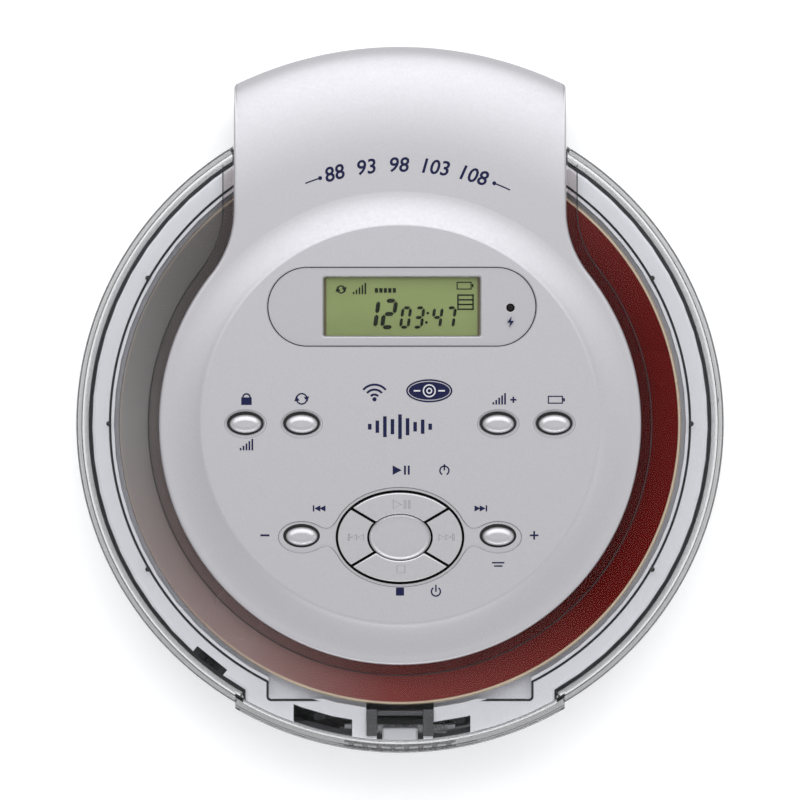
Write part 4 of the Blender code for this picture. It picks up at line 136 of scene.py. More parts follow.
# Smoky flange of the cover, tinted as painted shade of the cover on the disc, and its black bead, a
# painted dark line along its edge
FLANGE_UNDER = 1.0
FLANGE_REACH = 2.3
SHADE_LINE_WIDTH = 0.22
FLANGE_START_Y = 55.0
FLANGE_STEPS = 150

# Keys, panel and pad
OVAL_KEYS = {
    "key_oval_row_1": (-32.7, 0.0),
    "key_oval_row_2": (-20.8, 0.0),
    "key_oval_row_3": (20.8, 0.0),
    "key_oval_row_4": (32.7, 0.0),
    "key_oval_low_left": (-20.8, -23.8),
    "key_oval_low_right": (20.8, -23.8),
}
CAP = (6.7, 3.9)
CAP_DOME = 0.95
CAP_HOLE = (7.8, 5.0)
CAP_MOUTH = 0.55
HOLE_SHIFT = (-0.06, 0.12)
SURROUND = (8.75, 5.95)
SURROUND_MOUTH = 0.2
STEM = 3.0
STEM_FLANGE = (8.8, 6.0)
PANEL = (0.4, 24.8, 56.7, 16.6)
WINDOW = (0.4, 24.9, 33.2, 12.6)
LAMP = (23.4, 24.6)
PAD_Y = -24.0
PAD = (26.4, 19.1)
PAD_CENTRE = (13.1, 9.7)
PAD_SPLIT = math.radians(30.5)
PAD_SPLIT_HALF = 0.26
PAD_DISH = 0.5
POCKET_LINE_HALF = 0.09

# Print, in thin solids
PRINT_SUNK = 0.02
PRINT_THICK = 0.05
SCALE_REACH = 54.8
SCALE_SIZE = 4.35
SCALE_MARKS = (("88", -14.6), ("93", -7.4), ("98", -0.2), ("103", 7.8), ("108", 16.4))
EMBLEM = (6.2, 7.0)

# Deck
DECK_FLANGE = 17.75
GROOVE_FOOT = 21.3
GROOVE_RADII = (61.55, 62.1)
DECK_WALL_REACH = 65.25
NOTCH = (0.0, -56.7, 57.0, 5.0)
SCREW_PLACES = ((47.0, 30.0), (-47.0, 30.0), (-44.0, -34.0), (28.0, -38.5))


# Objects and meshes

def placed(name, data):
    """New object in the scene."""
    obj = bpy.data.objects.new(name, data)
    bpy.context.scene.collection.objects.link(obj)
    return obj


def evaluated(holder):
    """Plain mesh of an object with its modifiers, in the object's place."""
    bpy.context.view_layer.update()
    graph = bpy.context.evaluated_depsgraph_get()
    mesh = bpy.data.meshes.new_from_object(holder.evaluated_get(graph))
    bpy.data.objects.remove(holder)
    return mesh


def made(name, points, faces):
    """Mesh in metres from points in millimetres from the spindle."""
    mesh = bpy.data.meshes.new(name)
    mesh.from_pydata([(x * MM, (y + SPINDLE_Y) * MM, z * MM) for x, y, z in points], [], faces)
    return tidy(mesh)


def tidy(mesh):
    """Merge doubles and turn all faces outwards."""
    work = bmesh.new()
    work.from_mesh(mesh)
    bmesh.ops.remove_doubles(work, verts=work.verts, dist=0.001 * MM)
    bmesh.ops.dissolve_degenerate(work, edges=work.edges, dist=0.0005 * MM)
    bmesh.ops.recalc_face_normals(work, faces=work.faces)
    work.to_mesh(mesh)
    work.free()
    return mesh


def merged(name, meshes):
    """One mesh from several."""
    work = bmesh.new()
    for mesh in meshes:
        work.from_mesh(mesh)
    result = bpy.data.meshes.new(name)
    work.to_mesh(result)
    work.free()
    return result


def through(name, mesh, *changes):
    """The mesh after modifiers, each given as (kind, settings)."""
    holder = placed(name, mesh)
    for kind, settings in changes:
        modifier = holder.modifiers.new(kind, kind)
        for key, value in settings.items():
            setattr(modifier, key, value)
    result = evaluated(holder)
    result.name = name
    return result


def combined(name, mesh, tools, operation='DIFFERENCE'):
    """The mesh after Booleans with other meshes."""
    holders = [placed("tool", tool) for tool in tools]
    result = through(name, mesh, *(
        ('BOOLEAN', {"operation": operation, "solver": 'EXACT', "object": holder})
        for holder in holders
    ))
    for holder in holders:
        bpy.data.objects.remove(holder)
    return result


def edged(name, mesh, width, segments=2, angle=35.0):
    """The mesh with its sharp edges rounded."""
    return through(name, mesh, ('BEVEL', {
        "width": width * MM, "segments": segments, "limit_method": 'ANGLE',
        "angle_limit": math.radians(angle), "use_clamp_overlap": True, "miter_outer": 'MITER_ARC',
    }))


def piece(name, mesh, body, finish, slot, stands_for=(), sharp=38.0):
    """Finished piece: shaded, with its material, riding on its body."""
    mesh.name = name
    mesh.materials.clear()
    mesh.materials.append(finish)
    mesh.shade_smooth()
    mesh.set_sharp_from_angle(angle=math.radians(sharp))
    for face in mesh.polygons:
        if abs(face.normal.z) > LEVEL:
            face.use_smooth = False
    obj = placed(name, mesh)
    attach(obj, body)
    if stands_for:
        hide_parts(*stands_for)
    return obj


# Outlines and lofts

def softened(corners, steps=4):
    """Closed outline through (x, y, radius) corners, each rounded by its radius."""
    points = []
    count = len(corners)
    for i, (x, y, radius) in enumerate(corners):
        if radius <= 0:
            points.append((x, y))
            continue
        here = Vector((x, y))
        before = (Vector(corners[i - 1][:2]) - here).normalized()
        after = (Vector(corners[(i + 1) % count][:2]) - here).normalized()
        half = before.angle(after) / 2
        back = radius / math.tan(half)
        centre = here + (before + after).normalized() * (radius / math.sin(half))
        start = here + before * back - centre
        end = here + after * back - centre
        swing = start.angle_signed(end)
        for k in range(steps + 1):
            turned = start.copy()
            turned.rotate(Matrix.Rotation(-swing * k / steps, 2))
            points.append(tuple(centre + turned))
    return points


def loft(rings, wrap=False):
    """Points and faces through closed rings of equal count, capped or closed round."""
    count = len(rings[0])
    points = [point for ring in rings for point in ring]
    faces = []
    for k in range(len(rings) if wrap else len(rings) - 1):
        lower = k * count
        upper = ((k + 1) % len(rings)) * count
        for i in range(count):
            j = (i + 1) % count
            faces.append((lower + i, lower + j, upper + j, upper + i))
    if not wrap:
        faces.append(tuple(reversed(range(count))))
        faces.append(tuple(range(len(points) - count, len(points))))
    return points, faces


def lifted(outline, z):
    return [(x, y, z) for x, y in outline]


def revolved(name, section, steps=160, place=(0, 0)):
    """Turned solid from a closed (radius, height) section."""
    rings = []
    for k in range(steps):
        angle = TURN * k / steps
        rings.append([
            (place[0] + r * math.cos(angle), place[1] + r * math.sin(angle), z)
            for r, z in section
        ])
    return made(name, *loft(rings, wrap=True))


def stadium(length, width, place=(0, 0), steps=20):
    """Long outline with half-round ends."""
    radius = width / 2
    reach = length / 2 - radius
    points = []
    for side in (1, -1):
        for k in range(2 * steps + 1):
            angle = -math.pi / 2 + math.pi * k / (2 * steps)
            points.append((
                place[0] + side * (reach + radius * math.cos(angle)),
                place[1] + side * radius * math.sin(angle),
            ))
    return points


def oval(length, width, place=(0, 0), steps=64):
    return [
        (place[0] + length / 2 * math.cos(TURN * k / steps),
         place[1] + width / 2 * math.sin(TURN * k / steps))
        for k in range(steps)
    ]


def bar(x, y, length, width):
    return [
        (x - length / 2, y - width / 2), (x + length / 2, y - width / 2),
        (x + length / 2, y + width / 2), (x - length / 2, y + width / 2),
    ]


def rounded_bar(x, y, length, width, corner, steps=6):
    return softened([(px, py, corner) for px, py in bar(x, y, length, width)], steps)


def plate(name, outline, foot, top):
    """Straight-sided plate."""
    return made(name, *loft([lifted(outline, foot), lifted(outline, top)]))


def block(name, low, high, corner=0.0):
    """Box between two corners, its upright edges rounded."""
    outline = softened([
        (low[0], low[1], corner), (high[0], low[1], corner),
        (high[0], high[1], corner), (low[0], high[1], corner),
    ])
    return plate(name, outline, low[2], high[2])


def flared_hole(name, outline, wide_outline, low, top, mouth):
    """Cutter for a hole whose mouth opens towards the top."""
    return made(name, *loft([
        lifted(outline, low), lifted(outline, top - mouth),
        lifted(wide_outline, top), lifted(wide_outline, top + 1.0),
    ]))


def recess(name, floor, mouth, top, depth):
    """Cutter for a shallow recess, narrower at its floor."""
    return made(name, *loft([
        lifted(floor, top - depth), lifted(mouth, top), lifted(mouth, top + 1.0),
    ]))


def node_mesh(node):
    """Merged copy of a CAD node's mesh, with its flat faces joined."""
    mesh = NODES[node].data.copy()
    work = bmesh.new()
    work.from_mesh(mesh)
    bmesh.ops.remove_doubles(work, verts=work.verts, dist=0.002 * MM)
    bmesh.ops.dissolve_limit(
        work, angle_limit=math.radians(0.4), verts=work.verts, edges=work.edges)
    work.to_mesh(mesh)
    work.free()
    return mesh


# Finishes

def new_finish(name):
    material = bpy.data.materials.new(name)
    material.use_nodes = True
    tree = material.node_tree
    return material, tree, tree.nodes["Principled BSDF"]


def set_inputs(node, values):
    """Give each input its value, or a link from a socket."""
    for key, value in values.items():
        if isinstance(value, bpy.types.NodeSocket):
            node.id_data.links.new(value, node.inputs[key])
        else:
            node.inputs[key].default_value = value
    return node


def add(tree, kind, values=None, **settings):
    """New node with its settings and inputs."""
    node = tree.nodes.new(kind)
    for key, value in settings.items():
        setattr(node, key, value)
    return set_inputs(node, values or {})


def maths(tree, operation, *values):
    """Result of one Math node."""
    return add(tree, "ShaderNodeMath", dict(enumerate(values)), operation=operation).outputs[0]


def split(tree, vector):
    """The X, Y and Z of a vector."""
    return add(tree, "ShaderNodeSeparateXYZ", {"Vector": vector}).outputs[:]


def plan_radius(tree, x, y):
    """Distance from the spindle in plan."""
    flat = add(tree, "ShaderNodeCombineXYZ", {"X": x, "Y": y}).outputs[0]
    return add(tree, "ShaderNodeVectorMath", {0: flat}, operation='LENGTH').outputs["Value"]


def from_spindle(tree):
    """Object coordinates counted from the spindle."""
    return add(tree, "ShaderNodeMapping", {
        "Vector": add(tree, "ShaderNodeTexCoord").outputs["Object"],
        "Location": (0, -SPINDLE_Y * MM, 0),
    }).outputs["Vector"]


def noise(tree, vector, scale, detail=2.0):
    return add(tree, "ShaderNodeTexNoise", {
        "Vector": vector, "Scale": scale, "Detail": detail}).outputs["Fac"]


def spread(tree, value, low, high, start=0.3, end=0.7):
    """A value's range mapped to low…high."""
    return add(tree, "ShaderNodeMapRange", {
        "Value": value, "From Min": start, "From Max": end, "To Min": low, "To Max": high,
    }).outputs["Result"]


def tinted(tree, value, first, second, **settings):
    """Colour between two by a value, each given as numbers or as a socket."""
    first, second = (
        c if isinstance(c, bpy.types.NodeSocket) else (*c, 1) for c in (first, second))
    return add(tree, "ShaderNodeMix", {"Factor": value, 6: first, 7: second},
               data_type='RGBA', **settings).outputs[2]


def bumped(tree, shader, height, distance, strength=1.0):
    bump = add(tree, "ShaderNodeBump", {
        "Height": height, "Strength": strength, "Distance": distance * MM})
    set_inputs(shader, {"Normal": bump.outputs["Normal"]})


def shades(colour, change):
    """A colour a little darker, and a little lighter."""
    return tuple(tuple(min(1.0, c * by) for c in colour) for by in (1 - change, 1 + change))


def moulded(name, colour, rough, grain=0.004, scale=2600.0, mottle=0.06, extra=None):
    """Moulded plastic, rubber or laminate: fine grain, faint mottling, uneven gloss."""
    material, tree, shader = new_finish(name)
    vector = from_spindle(tree)
    patches = spread(tree, noise(tree, vector, 90.0, 4.0), 0.0, 1.0)
    fine = noise(tree, vector, scale, 3.0)
    bumped(tree, shader, fine, grain)
    set_inputs(shader, {
        "Base Color": tinted(tree, patches, *shades(colour, mottle)),
        "Roughness": spread(tree, fine, rough - 0.05, rough + 0.05),
        **(extra or {}),
    })
    return material


def brushed(name, colour, rough):
    """Metal with a drawn or rolled grain."""
    material, tree, shader = new_finish(name)
    pulled = add(tree, "ShaderNodeMapping", {
        "Vector": from_spindle(tree), "Scale": (1.0, 30.0, 30.0)}).outputs["Vector"]
    lines = noise(tree, pulled, 160.0, 4.0)
    dark = tuple(c * 0.88 for c in colour)
    bumped(tree, shader, lines, 0.003)
    set_inputs(shader, {
        "Base Color": tinted(tree, spread(tree, lines, 0, 1), dark, colour),
        "Roughness": spread(tree, lines, rough - 0.06, rough + 0.08), "Metallic": 1.0,
    })
    return material


def silver_paint(name, colour, rough, flake=0.05):
    """Metallic paint: tiny flakes and a soft unevenness."""
    material, tree, shader = new_finish(name)
    vector = from_spindle(tree)
    flakes = add(tree, "ShaderNodeTexVoronoi", {"Vector": vector, "Scale": 5200.0})
    sparkle = spread(tree, flakes.outputs["Distance"], 0, 1, 0.1, 0.7)
    cloud = noise(tree, vector, 1400.0)
    bumped(tree, shader, cloud, 0.0016)
    set_inputs(shader, {
        "Base Color": tinted(tree, sparkle, *shades(colour, flake)),
        "Roughness": spread(tree, cloud, rough - 0.03, rough + 0.03),
        "Metallic": 0.8, "Specular IOR Level": 0.3,
    })
    return material


def clear_plastic(name, colour, rough, dark):
    """Clear moulding, greyer where it is thick, that lets the lamps' light through.

    Its level faces are mostly plain see-through, so that they lay no veil on what is below.
    """
    level_share = 0.88
    material, tree, shader = new_finish(name)
    vector = from_spindle(tree)
    bumped(tree, shader, noise(tree, vector, 60.0), 0.01, 0.5)
    set_inputs(shader, {
        "Base Color": (*colour, 1), "Transmission Weight": 1.0, "IOR": 1.46,
        "Specular IOR Level": 0.06,
        "Roughness": spread(tree, noise(tree, vector, 400.0), rough * 0.6, rough * 1.6),
    })
    normal = add(tree, "ShaderNodeNewGeometry").outputs["Normal"]
    upright = maths(tree, 'ABSOLUTE', split(tree, normal)[2])
    level = spread(tree, upright, 0.0, level_share, 0.985, 0.998)
    shadow = add(tree, "ShaderNodeLightPath").outputs["Is Shadow Ray"]
    open_air = add(tree, "ShaderNodeBsdfTransparent", {
        "Color": (*(0.5 + c / 2 for c in colour), 1)})
    surface = add(tree, "ShaderNodeMixShader", {
        "Fac": maths(tree, 'MAXIMUM', shadow, level),
        1: shader.outputs["BSDF"], 2: open_air.outputs["BSDF"],
    })
    depth = add(tree, "ShaderNodeVolumeAbsorption", {"Color": (0.02, 0.01, 0, 1), "Density": dark})
    set_inputs(tree.nodes["Material Output"], {
        "Surface": surface.outputs["Shader"], "Volume": depth.outputs["Volume"]})
    return material


# Tints round the disc by angle: the brick reds are print, the greys on the left are painted sheen
# reflection.
DISC_PRINT_AND_SHEEN_TINTS = (
    (-180, (0.30, 0.29, 0.28)), (-125, (0.36, 0.25, 0.235)), (-92, (0.27, 0.062, 0.055)),
    (-40, (0.14, 0.006, 0.004)), (20, (0.13, 0.005, 0.004)), (70, (0.17, 0.03, 0.028)),
    (125, (0.13, 0.115, 0.11)), (180, (0.30, 0.29, 0.28)),
)


def disc_film(name):
    """Disc: top in brick-red print that turns grey round the left as painted sheen, darkened
    towards the middle as a painted shadow of the cover, with a painted golden highlight along its
    edge, round an unprinted middle, and a pale underside.
    """
    material, tree, shader = new_finish(name)
    vector = from_spindle(tree)
    x, y, _ = split(tree, vector)
    angle = maths(tree, 'ARCTAN2', y, x)
    ramp = add(tree, "ShaderNodeValToRGB", {
        "Fac": spread(tree, angle, 0.0, 1.0, -math.pi, math.pi)})
    stops = ramp.color_ramp.elements
    for i, (degrees, colour) in enumerate(DISC_PRINT_AND_SHEEN_TINTS):
        at = (degrees + 180) / 360
        stop = stops[i] if i < 2 else stops.new(at)
        stop.position = at
        stop.color = (*colour, 1)
    radius = plan_radius(tree, x, y)
    # Painted shadow of the cover: darker towards the middle, a little lighter outside.
    cover_shadow = spread(tree, radius, 0.0, 1.0, 50.0 * MM, 58.5 * MM)
    shade = tinted(tree, cover_shadow, (0.8, 0.78, 0.78), (1.1, 1.1, 1.1))
    printed = tinted(tree, 1.0, ramp.outputs["Color"], shade, blend_type='MULTIPLY')
    # Painted highlight: a golden line along the disc's edge, faint on the left.
    rim = maths(tree, 'MULTIPLY', spread(tree, radius, 0.0, 1.0, 59.3 * MM, 59.45 * MM),
                spread(tree, x, 0.15, 1.0, -48 * MM, -20 * MM))
    top_with_rim_highlight = tinted(tree, rim, printed, (0.80, 0.66, 0.48))
    outside_hub = spread(tree, radius, 0.0, 1.0, 22.8 * MM, 23.0 * MM)
    top = tinted(tree, outside_hub, (0.72, 0.72, 0.74), top_with_rim_highlight)
    normal = add(tree, "ShaderNodeNewGeometry").outputs["Normal"]
    facing_up = spread(tree, split(tree, normal)[2], 0.0, 1.0, -0.1, 0.1)
    set_inputs(shader, {
        "Base Color": tinted(tree, facing_up, (0.62, 0.60, 0.66), top),
        "Roughness": spread(tree, noise(tree, vector, 40.0, 3.0), 0.22, 0.30, 0.0, 1.0),
        "Metallic": 0.5, "Specular IOR Level": 0.05,
    })
    return material


def lcd_film(name):
    """Olive display film with a faint cell pattern, darker towards its border."""
    material, tree, shader = new_finish(name)
    vector = from_spindle(tree)
    moved = add(tree, "ShaderNodeMapping", {
        "Vector": vector,
        "Location": (-WINDOW[0] / WINDOW[2] * 2, -WINDOW[1] / WINDOW[3] * 2, 0),
        "Scale": (2 / (WINDOW[2] * MM), 2 / (WINDOW[3] * MM), 0),
    }).outputs["Vector"]
    edge = add(tree, "ShaderNodeVectorMath", {0: moved}, operation='ABSOLUTE').outputs["Vector"]
    x, y, _ = split(tree, edge)
    border = spread(tree, maths(tree, 'MAXIMUM', x, y), 0.0, 1.0, 0.955, 0.975)
    soft = tinted(tree, spread(tree, noise(tree, vector, 120.0), 0, 1),
                  (0.178, 0.222, 0.076), (0.195, 0.242, 0.086))
    cells = add(tree, "ShaderNodeTexChecker", {"Vector": vector, "Scale": 5200.0}).outputs["Fac"]
    bumped(tree, shader, cells, 0.0004)
    set_inputs(shader, {
        "Base Color": tinted(tree, border, soft, (0.085, 0.062, 0.03)),
        "Roughness": spread(tree, cells, 0.40, 0.46, 0, 1),
    })
    return material


def deck_finish(name):
    """Light painted deck; its flange, slots, grooves and outer wall are coloured near black as
    painted shade of the gaps round it.
    """
    material, tree, shader = new_finish(name)
    vector = from_spindle(tree)
    x, y, z = split(tree, vector)
    # Painted shade: these masks pick the flange, the groove and notch floors and the outer wall,
    # coloured near black for the shade in the gaps round the deck.
    floor = spread(tree, z, 1.0, 0.0, (DECK_FLANGE - 0.05) * MM, (DECK_FLANGE + 0.05) * MM)
    groove = maths(tree, 'COMPARE', z, (GROOVE_FOOT + 0.06) * MM, 0.12 * MM)
    wall = spread(tree, z, 1.0, 0.0, GROOVE_FOOT * MM, (GROOVE_FOOT + 0.2) * MM)
    outside = spread(tree, plan_radius(tree, x, y), 0.0, 1.0,
                     (DECK_WALL_REACH - 0.05) * MM, (DECK_WALL_REACH + 0.05) * MM)
    painted_shade = maths(tree, 'MAXIMUM', maths(tree, 'MAXIMUM', floor, groove),
                 maths(tree, 'MULTIPLY', wall, outside))
    fine = noise(tree, vector, 2600.0, 3.0)
    light = tinted(tree, spread(tree, fine, 0, 1), (0.84, 0.84, 0.87), (0.90, 0.90, 0.93))
    bumped(tree, shader, fine, 0.003)
    set_inputs(shader, {
        "Base Color": tinted(tree, painted_shade, light, (0.045, 0.047, 0.052)),
        "Roughness": spread(tree, fine, 0.38, 0.48), "Metallic": 0.15, "Specular IOR Level": 0.3,
    })
    return material


DULL = {"Specular IOR Level": 0.12}
PAINT = silver_paint("cover_silver_paint", (0.392, 0.387, 0.408), 0.47)
KEY_SILVER = silver_paint("key_plated_silver", (0.41, 0.405, 0.425), 0.40, 0.03)
PANEL_SILVER = silver_paint("panel_silver_paint", (0.37, 0.366, 0.386), 0.47)
PAD_SILVER = silver_paint("pad_silver_paint", (0.405, 0.40, 0.42), 0.40)
EMBOSS = silver_paint("symbol_silver", (0.62, 0.62, 0.64), 0.36, 0.02)
KNOB_SILVER = silver_paint("knob_plated_silver", (0.56, 0.56, 0.575), 0.26, 0.03)
RING_CLEAR = clear_plastic("ring_clear_moulding", (0.84, 0.845, 0.86), 0.012, 70.0)
WINDOW_CLEAR = clear_plastic("window_clear_moulding", (0.96, 0.97, 0.96), 0.01, 60.0)
# Smoky see-through tint that paints the cover's shade on the disc under the flange.
SMOKY_SHADE = clear_plastic("flange_painted_shade_tint", (0.84, 0.80, 0.80), 0.02, 20.0)
CASE_GREY = moulded("case_grey_moulding", (0.37, 0.37, 0.39), 0.48, 0.008, 1900.0)
DECK_SILVER = moulded("deck_light_moulding", (0.62, 0.62, 0.64), 0.42, 0.003)
DECK_PAINT = deck_finish("deck_paint_with_painted_shade")
POST_GREY = moulded("latch_grey_moulding", (0.10, 0.10, 0.105), 0.25, 0.003)
LINER_GREY = moulded("liner_light_moulding", (0.55, 0.55, 0.57), 0.45)
BLACK = moulded("black_moulding", (0.018, 0.018, 0.02), 0.42, 0.005)
WELL_DARK = moulded("hub_dark_moulding", (0.03, 0.03, 0.033), 0.38)
RUBBER = moulded("foot_rubber", (0.022, 0.022, 0.023), 0.78, 0.02, 1500.0, 0.12)
IVORY = moulded("gear_natural_moulding", (0.72, 0.70, 0.62), 0.45, 0.003)
LAMINATE = moulded("board_green_laminate", (0.02, 0.13, 0.05), 0.40, 0.006, 900.0, 0.25)
INK = moulded("navy_print_ink", (0.008, 0.010, 0.045), 0.5, 0.001, extra=DULL)
LCD_INK = moulded("display_segment_ink", (0.008, 0.010, 0.006), 0.5, 0.001, extra=DULL)
LAMP_DARK = moulded("lamp_dark_lens", (0.012, 0.010, 0.010), 0.25, 0.001, extra=DULL)
LENS_BLUE = moulded("lens_coated", (0.06, 0.10, 0.34), 0.06, 0.0005, extra={"Coat Weight": 1.0})
LCD_FILM = lcd_film("display_olive_film")
DISC_FILM = disc_film("disc_print_and_painted_sheen")
STEEL = brushed("steel_rolled", (0.50, 0.50, 0.51), 0.30)
BRIGHT_STEEL = brushed("steel_plated", (0.78, 0.78, 0.79), 0.20)


# Silver cover

def cover_reach(angle):
    """Distance from the spindle to the cover's outline, at an angle from the rear."""
    a = abs(angle)
    sine, cosine = math.sin(a), math.cos(a)
    if a >= FILLET_TURNS[1]:
        return COVER_REACH
    if a >= FILLET_TURNS[0]:
        along = FILLET_X * sine + FILLET_Y * cosine
        return along - math.sqrt(along ** 2 - (FILLET_X ** 2 + FILLET_Y ** 2 - COVER_FILLET ** 2))
    if a >= CORNER_TURNS[1]:
        return TONGUE_HALF / sine
    if a >= CORNER_TURNS[0]:
        along = TONGUE_SIDE * sine + TONGUE_BACK * cosine
        return along + math.sqrt(
            along ** 2 - (TONGUE_SIDE ** 2 + TONGUE_BACK ** 2 - TONGUE_CORNER ** 2))
    return TONGUE_REAR


def cover_height(radius):
    """Height of the cover's top surface at a distance from the spindle."""
    if radius <= CREASE:
        return COVER_TOP
    if radius <= FLARE_END:
        share = (radius - CREASE) / (FLARE_END - CREASE)
        soft = min(1.0, share / FLARE_SOFT_SHARE)
        return BAND_TOP + (COVER_TOP - BAND_TOP) * (1 - share * soft) ** FLARE_POWER
    if radius <= REAR_START:
        return BAND_TOP
    turn = math.asin(min(1.0, (radius - REAR_START) / (TONGUE_REAR - REAR_START)))
    return REAR_SHOULDER + (BAND_TOP - REAR_SHOULDER) * math.cos(turn)


def cover_angles():
    """Angles from the rear, closer together where the outline turns."""
    step = math.radians(1.25)
    corner_steps = 6
    start, end = CORNER_TURNS
    angles = [k * step for k in range(int(TURN / step / 2) + 1)]
    angles += [start + (end - start) * k / corner_steps for k in range(corner_steps + 1)]
    angles = sorted(set(round(a, 6) for a in angles))
    return [-a for a in reversed(angles) if 0 < a < math.pi - 1e-4] + angles


def outline_normal(angle):
    """Outward direction of the cover's outline, at an angle from the rear."""
    near = math.radians(0.1)
    before, after = (
        Vector((cover_reach(a) * math.sin(a), cover_reach(a) * math.cos(a)))
        for a in (angle - near, angle + near)
    )
    along = (after - before).normalized()
    return Vector((-along.y, along.x))


def edge_inset(angle):
    """Width of the rounded edge, which fades out along the rear arc."""
    start, end = CORNER_TURNS
    share = min(1.0, max(0.0, (abs(angle) - start) / (end - start)))
    return REAR_ROUND + (EDGE_ROUND - REAR_ROUND) * share


def foot_height(x, y):
    """Where the cover's wall ends: on the ring, in its opening, or at the lid's foot."""
    radius = math.hypot(x, y)
    if radius < RING_EDGE_REACH:
        return RING_TOP + 0.3
    return RING_UNDER if radius < RING_REACH - SKIRT + 0.1 else COVER_FOOT


def cover_mesh():
    """Cover as a closed shell of rings: the top from the middle out, the underside back."""
    angles = cover_angles()
    count = len(angles)
    normals = [outline_normal(a) for a in angles]
    rays = [Vector((math.sin(a), math.cos(a))) for a in angles]
    edges = [ray * cover_reach(a) for ray, a in zip(rays, angles)]
    insets = [edge_inset(a) for a in angles]

    def inner_end(i, width):
        return edges[i].length - width / max(0.4, abs(normals[i].dot(rays[i])))

    def ring(radii, drop=0.0):
        return [
            (*(ray * radius), cover_height(radius) - drop) for ray, radius in zip(rays, radii)
        ]

    def out_to(ends, turn, drop=0.0):
        share = math.sin(math.radians(turn))
        return ring([FLARE_END + (end - FLARE_END) * share for end in ends], drop)

    rings = [ring([radius] * count) for radius in (CREASE * 0.6, CREASE - 0.3, CREASE)]
    flare_steps = 12
    for k in range(1, flare_steps + 1):
        rings.append(ring([CREASE + (FLARE_END - CREASE) * (k / flare_steps) ** 1.3] * count))
    ends = [inner_end(i, insets[i]) for i in range(count)]
    rings += [out_to(ends, 3.75 * k) for k in range(1, 25)]
    rim = rings[-1]
    for k in range(1, 6):
        turn = math.radians(18 * k)
        level = []
        for i in range(count):
            base = Vector(rim[i][:2])
            place = base + (edges[i] - base) * math.sin(turn)
            level.append((*place, rim[i][2] - insets[i] * (1 - math.cos(turn))))
        rings.append(level)
    feet = [foot_height(*edge) for edge in edges]
    walls = [inner_end(i, COVER_WALL) for i in range(count)]
    rings.append([(*edge, foot) for edge, foot in zip(edges, feet)])
    rings.append([(*(ray * wall), foot) for ray, wall, foot in zip(rays, walls, feet)])
    rings += [out_to(walls, 7.5 * k, COVER_WALL) for k in range(12, -1, -1)]
    rings += [ring([radius] * count, COVER_WALL) for radius in (FLARE_END - 3.5, CREASE - 0.8)]
    return made("cover_shell", *loft(rings))


def bezier(start, pull, push, end, steps=10):
    """Points of one cubic curve, without its first."""
    points = []
    for k in range(1, steps + 1):
        t = k / steps
        points.append(tuple(
            (1 - t) ** 3 * a + 3 * t * (1 - t) ** 2 * b + 3 * t * t * (1 - t) * c + t ** 3 * d
            for a, b, c, d in zip(start, pull, push, end)))
    return points


def pocket_outline():
    """Contour round the pad and the two keys beside it, with drawn-in necks."""
    half_x, half_y = PAD[0] / 2 + 1.0, PAD[1] / 2 + 1.0
    key_x = OVAL_KEYS["key_oval_low_right"][0]
    key_half = (CAP_HOLE[0] / 2 + 1.05, CAP_HOLE[1] / 2 + 0.85)
    waist = (15.5, 1.9)
    leave = math.radians(26)
    pad_end = (half_x * math.cos(leave), half_y * math.sin(leave))
    turn = math.acos((18.4 - key_x) / key_half[0])
    quarter = [
        (key_x + key_half[0] * math.cos(a), key_half[1] * math.sin(a))
        for a in (turn * k / 16 for k in range(17))
    ]
    quarter += bezier(quarter[-1], (17.2, 2.5), (16.6, waist[1]), waist)
    quarter += bezier(waist, (14.5, waist[1]), (13.6, 3.1), pad_end)
    quarter += [
        (half_x * math.cos(a), half_y * math.sin(a))
        for a in (leave + (math.pi / 2 - leave) * k / 20 for k in range(1, 21))
    ]
    above = quarter + [(-x, y) for x, y in reversed(quarter[:-1])]
    below = [(x, -y) for x, y in reversed(above[1:-1])]
    return [(x, y + PAD_Y) for x, y in above + below]


def offset(points, distance):
    """Closed outline moved outwards along its normals."""
    moved = []
    for i, (x, y) in enumerate(points):
        before, after = points[i - 1], points[(i + 1) % len(points)]
        along = Vector((after[0] - before[0], after[1] - before[1])).normalized()
        moved.append((x + along.y * distance, y - along.x * distance))
    return moved


def widened(size, by):
    return tuple(side + by for side in size)


def add_cover():
    """Cover cut for its keys, pad, panel and pocket line, with its two hinge lugs."""
    tools = []
    for name, (x, y) in OVAL_KEYS.items():
        place = (x + HOLE_SHIFT[0], y + HOLE_SHIFT[1])
        tools.append(flared_hole(
            "key_hole", oval(*CAP_HOLE, place), oval(*widened(CAP_HOLE, CAP_MOUTH), place),
            RING_TOP, COVER_TOP - 0.14, 0.2,
        ))
        if "row" in name:
            tools.append(recess(
                "surround", oval(*SURROUND, (x, y)),
                oval(*widened(SURROUND, SURROUND_MOUTH), (x, y)), COVER_TOP, 0.16,
            ))
    tools.append(flared_hole(
        "pad_hole", oval(*widened(PAD, 0.9), (0, PAD_Y)), oval(*widened(PAD, 1.3), (0, PAD_Y)),
        RING_TOP, COVER_TOP, 0.25,
    ))
    tools.append(flared_hole(
        "panel_room", stadium(*widened(PANEL[2:], 0.3), PANEL[:2]),
        stadium(*widened(PANEL[2:], 0.7), PANEL[:2]), PANEL_FOOT - 0.6, COVER_TOP, 0.2,
    ))
    inner, outer = (offset(pocket_outline(), side * POCKET_LINE_HALF) for side in (-1, 1))
    tools.append(recess("pocket", inner, outer, COVER_TOP, 0.32))
    cover = combined("cover", cover_mesh(), tools)
    lugs = [
        combined("lug", node_mesh("lid_cover"), [
            block("crop", (left, 70.2, 16.0), (left + LUG_WIDTH, 75.6, 23.5)),
        ], 'INTERSECT')
        for left in LUGS_LEFT
    ]
    piece("silver_cover", merged("cover", [cover, *lugs]), "lid", PAINT, "silver_paint",
          ("lid_cover",), 30.0)


# Clear ring

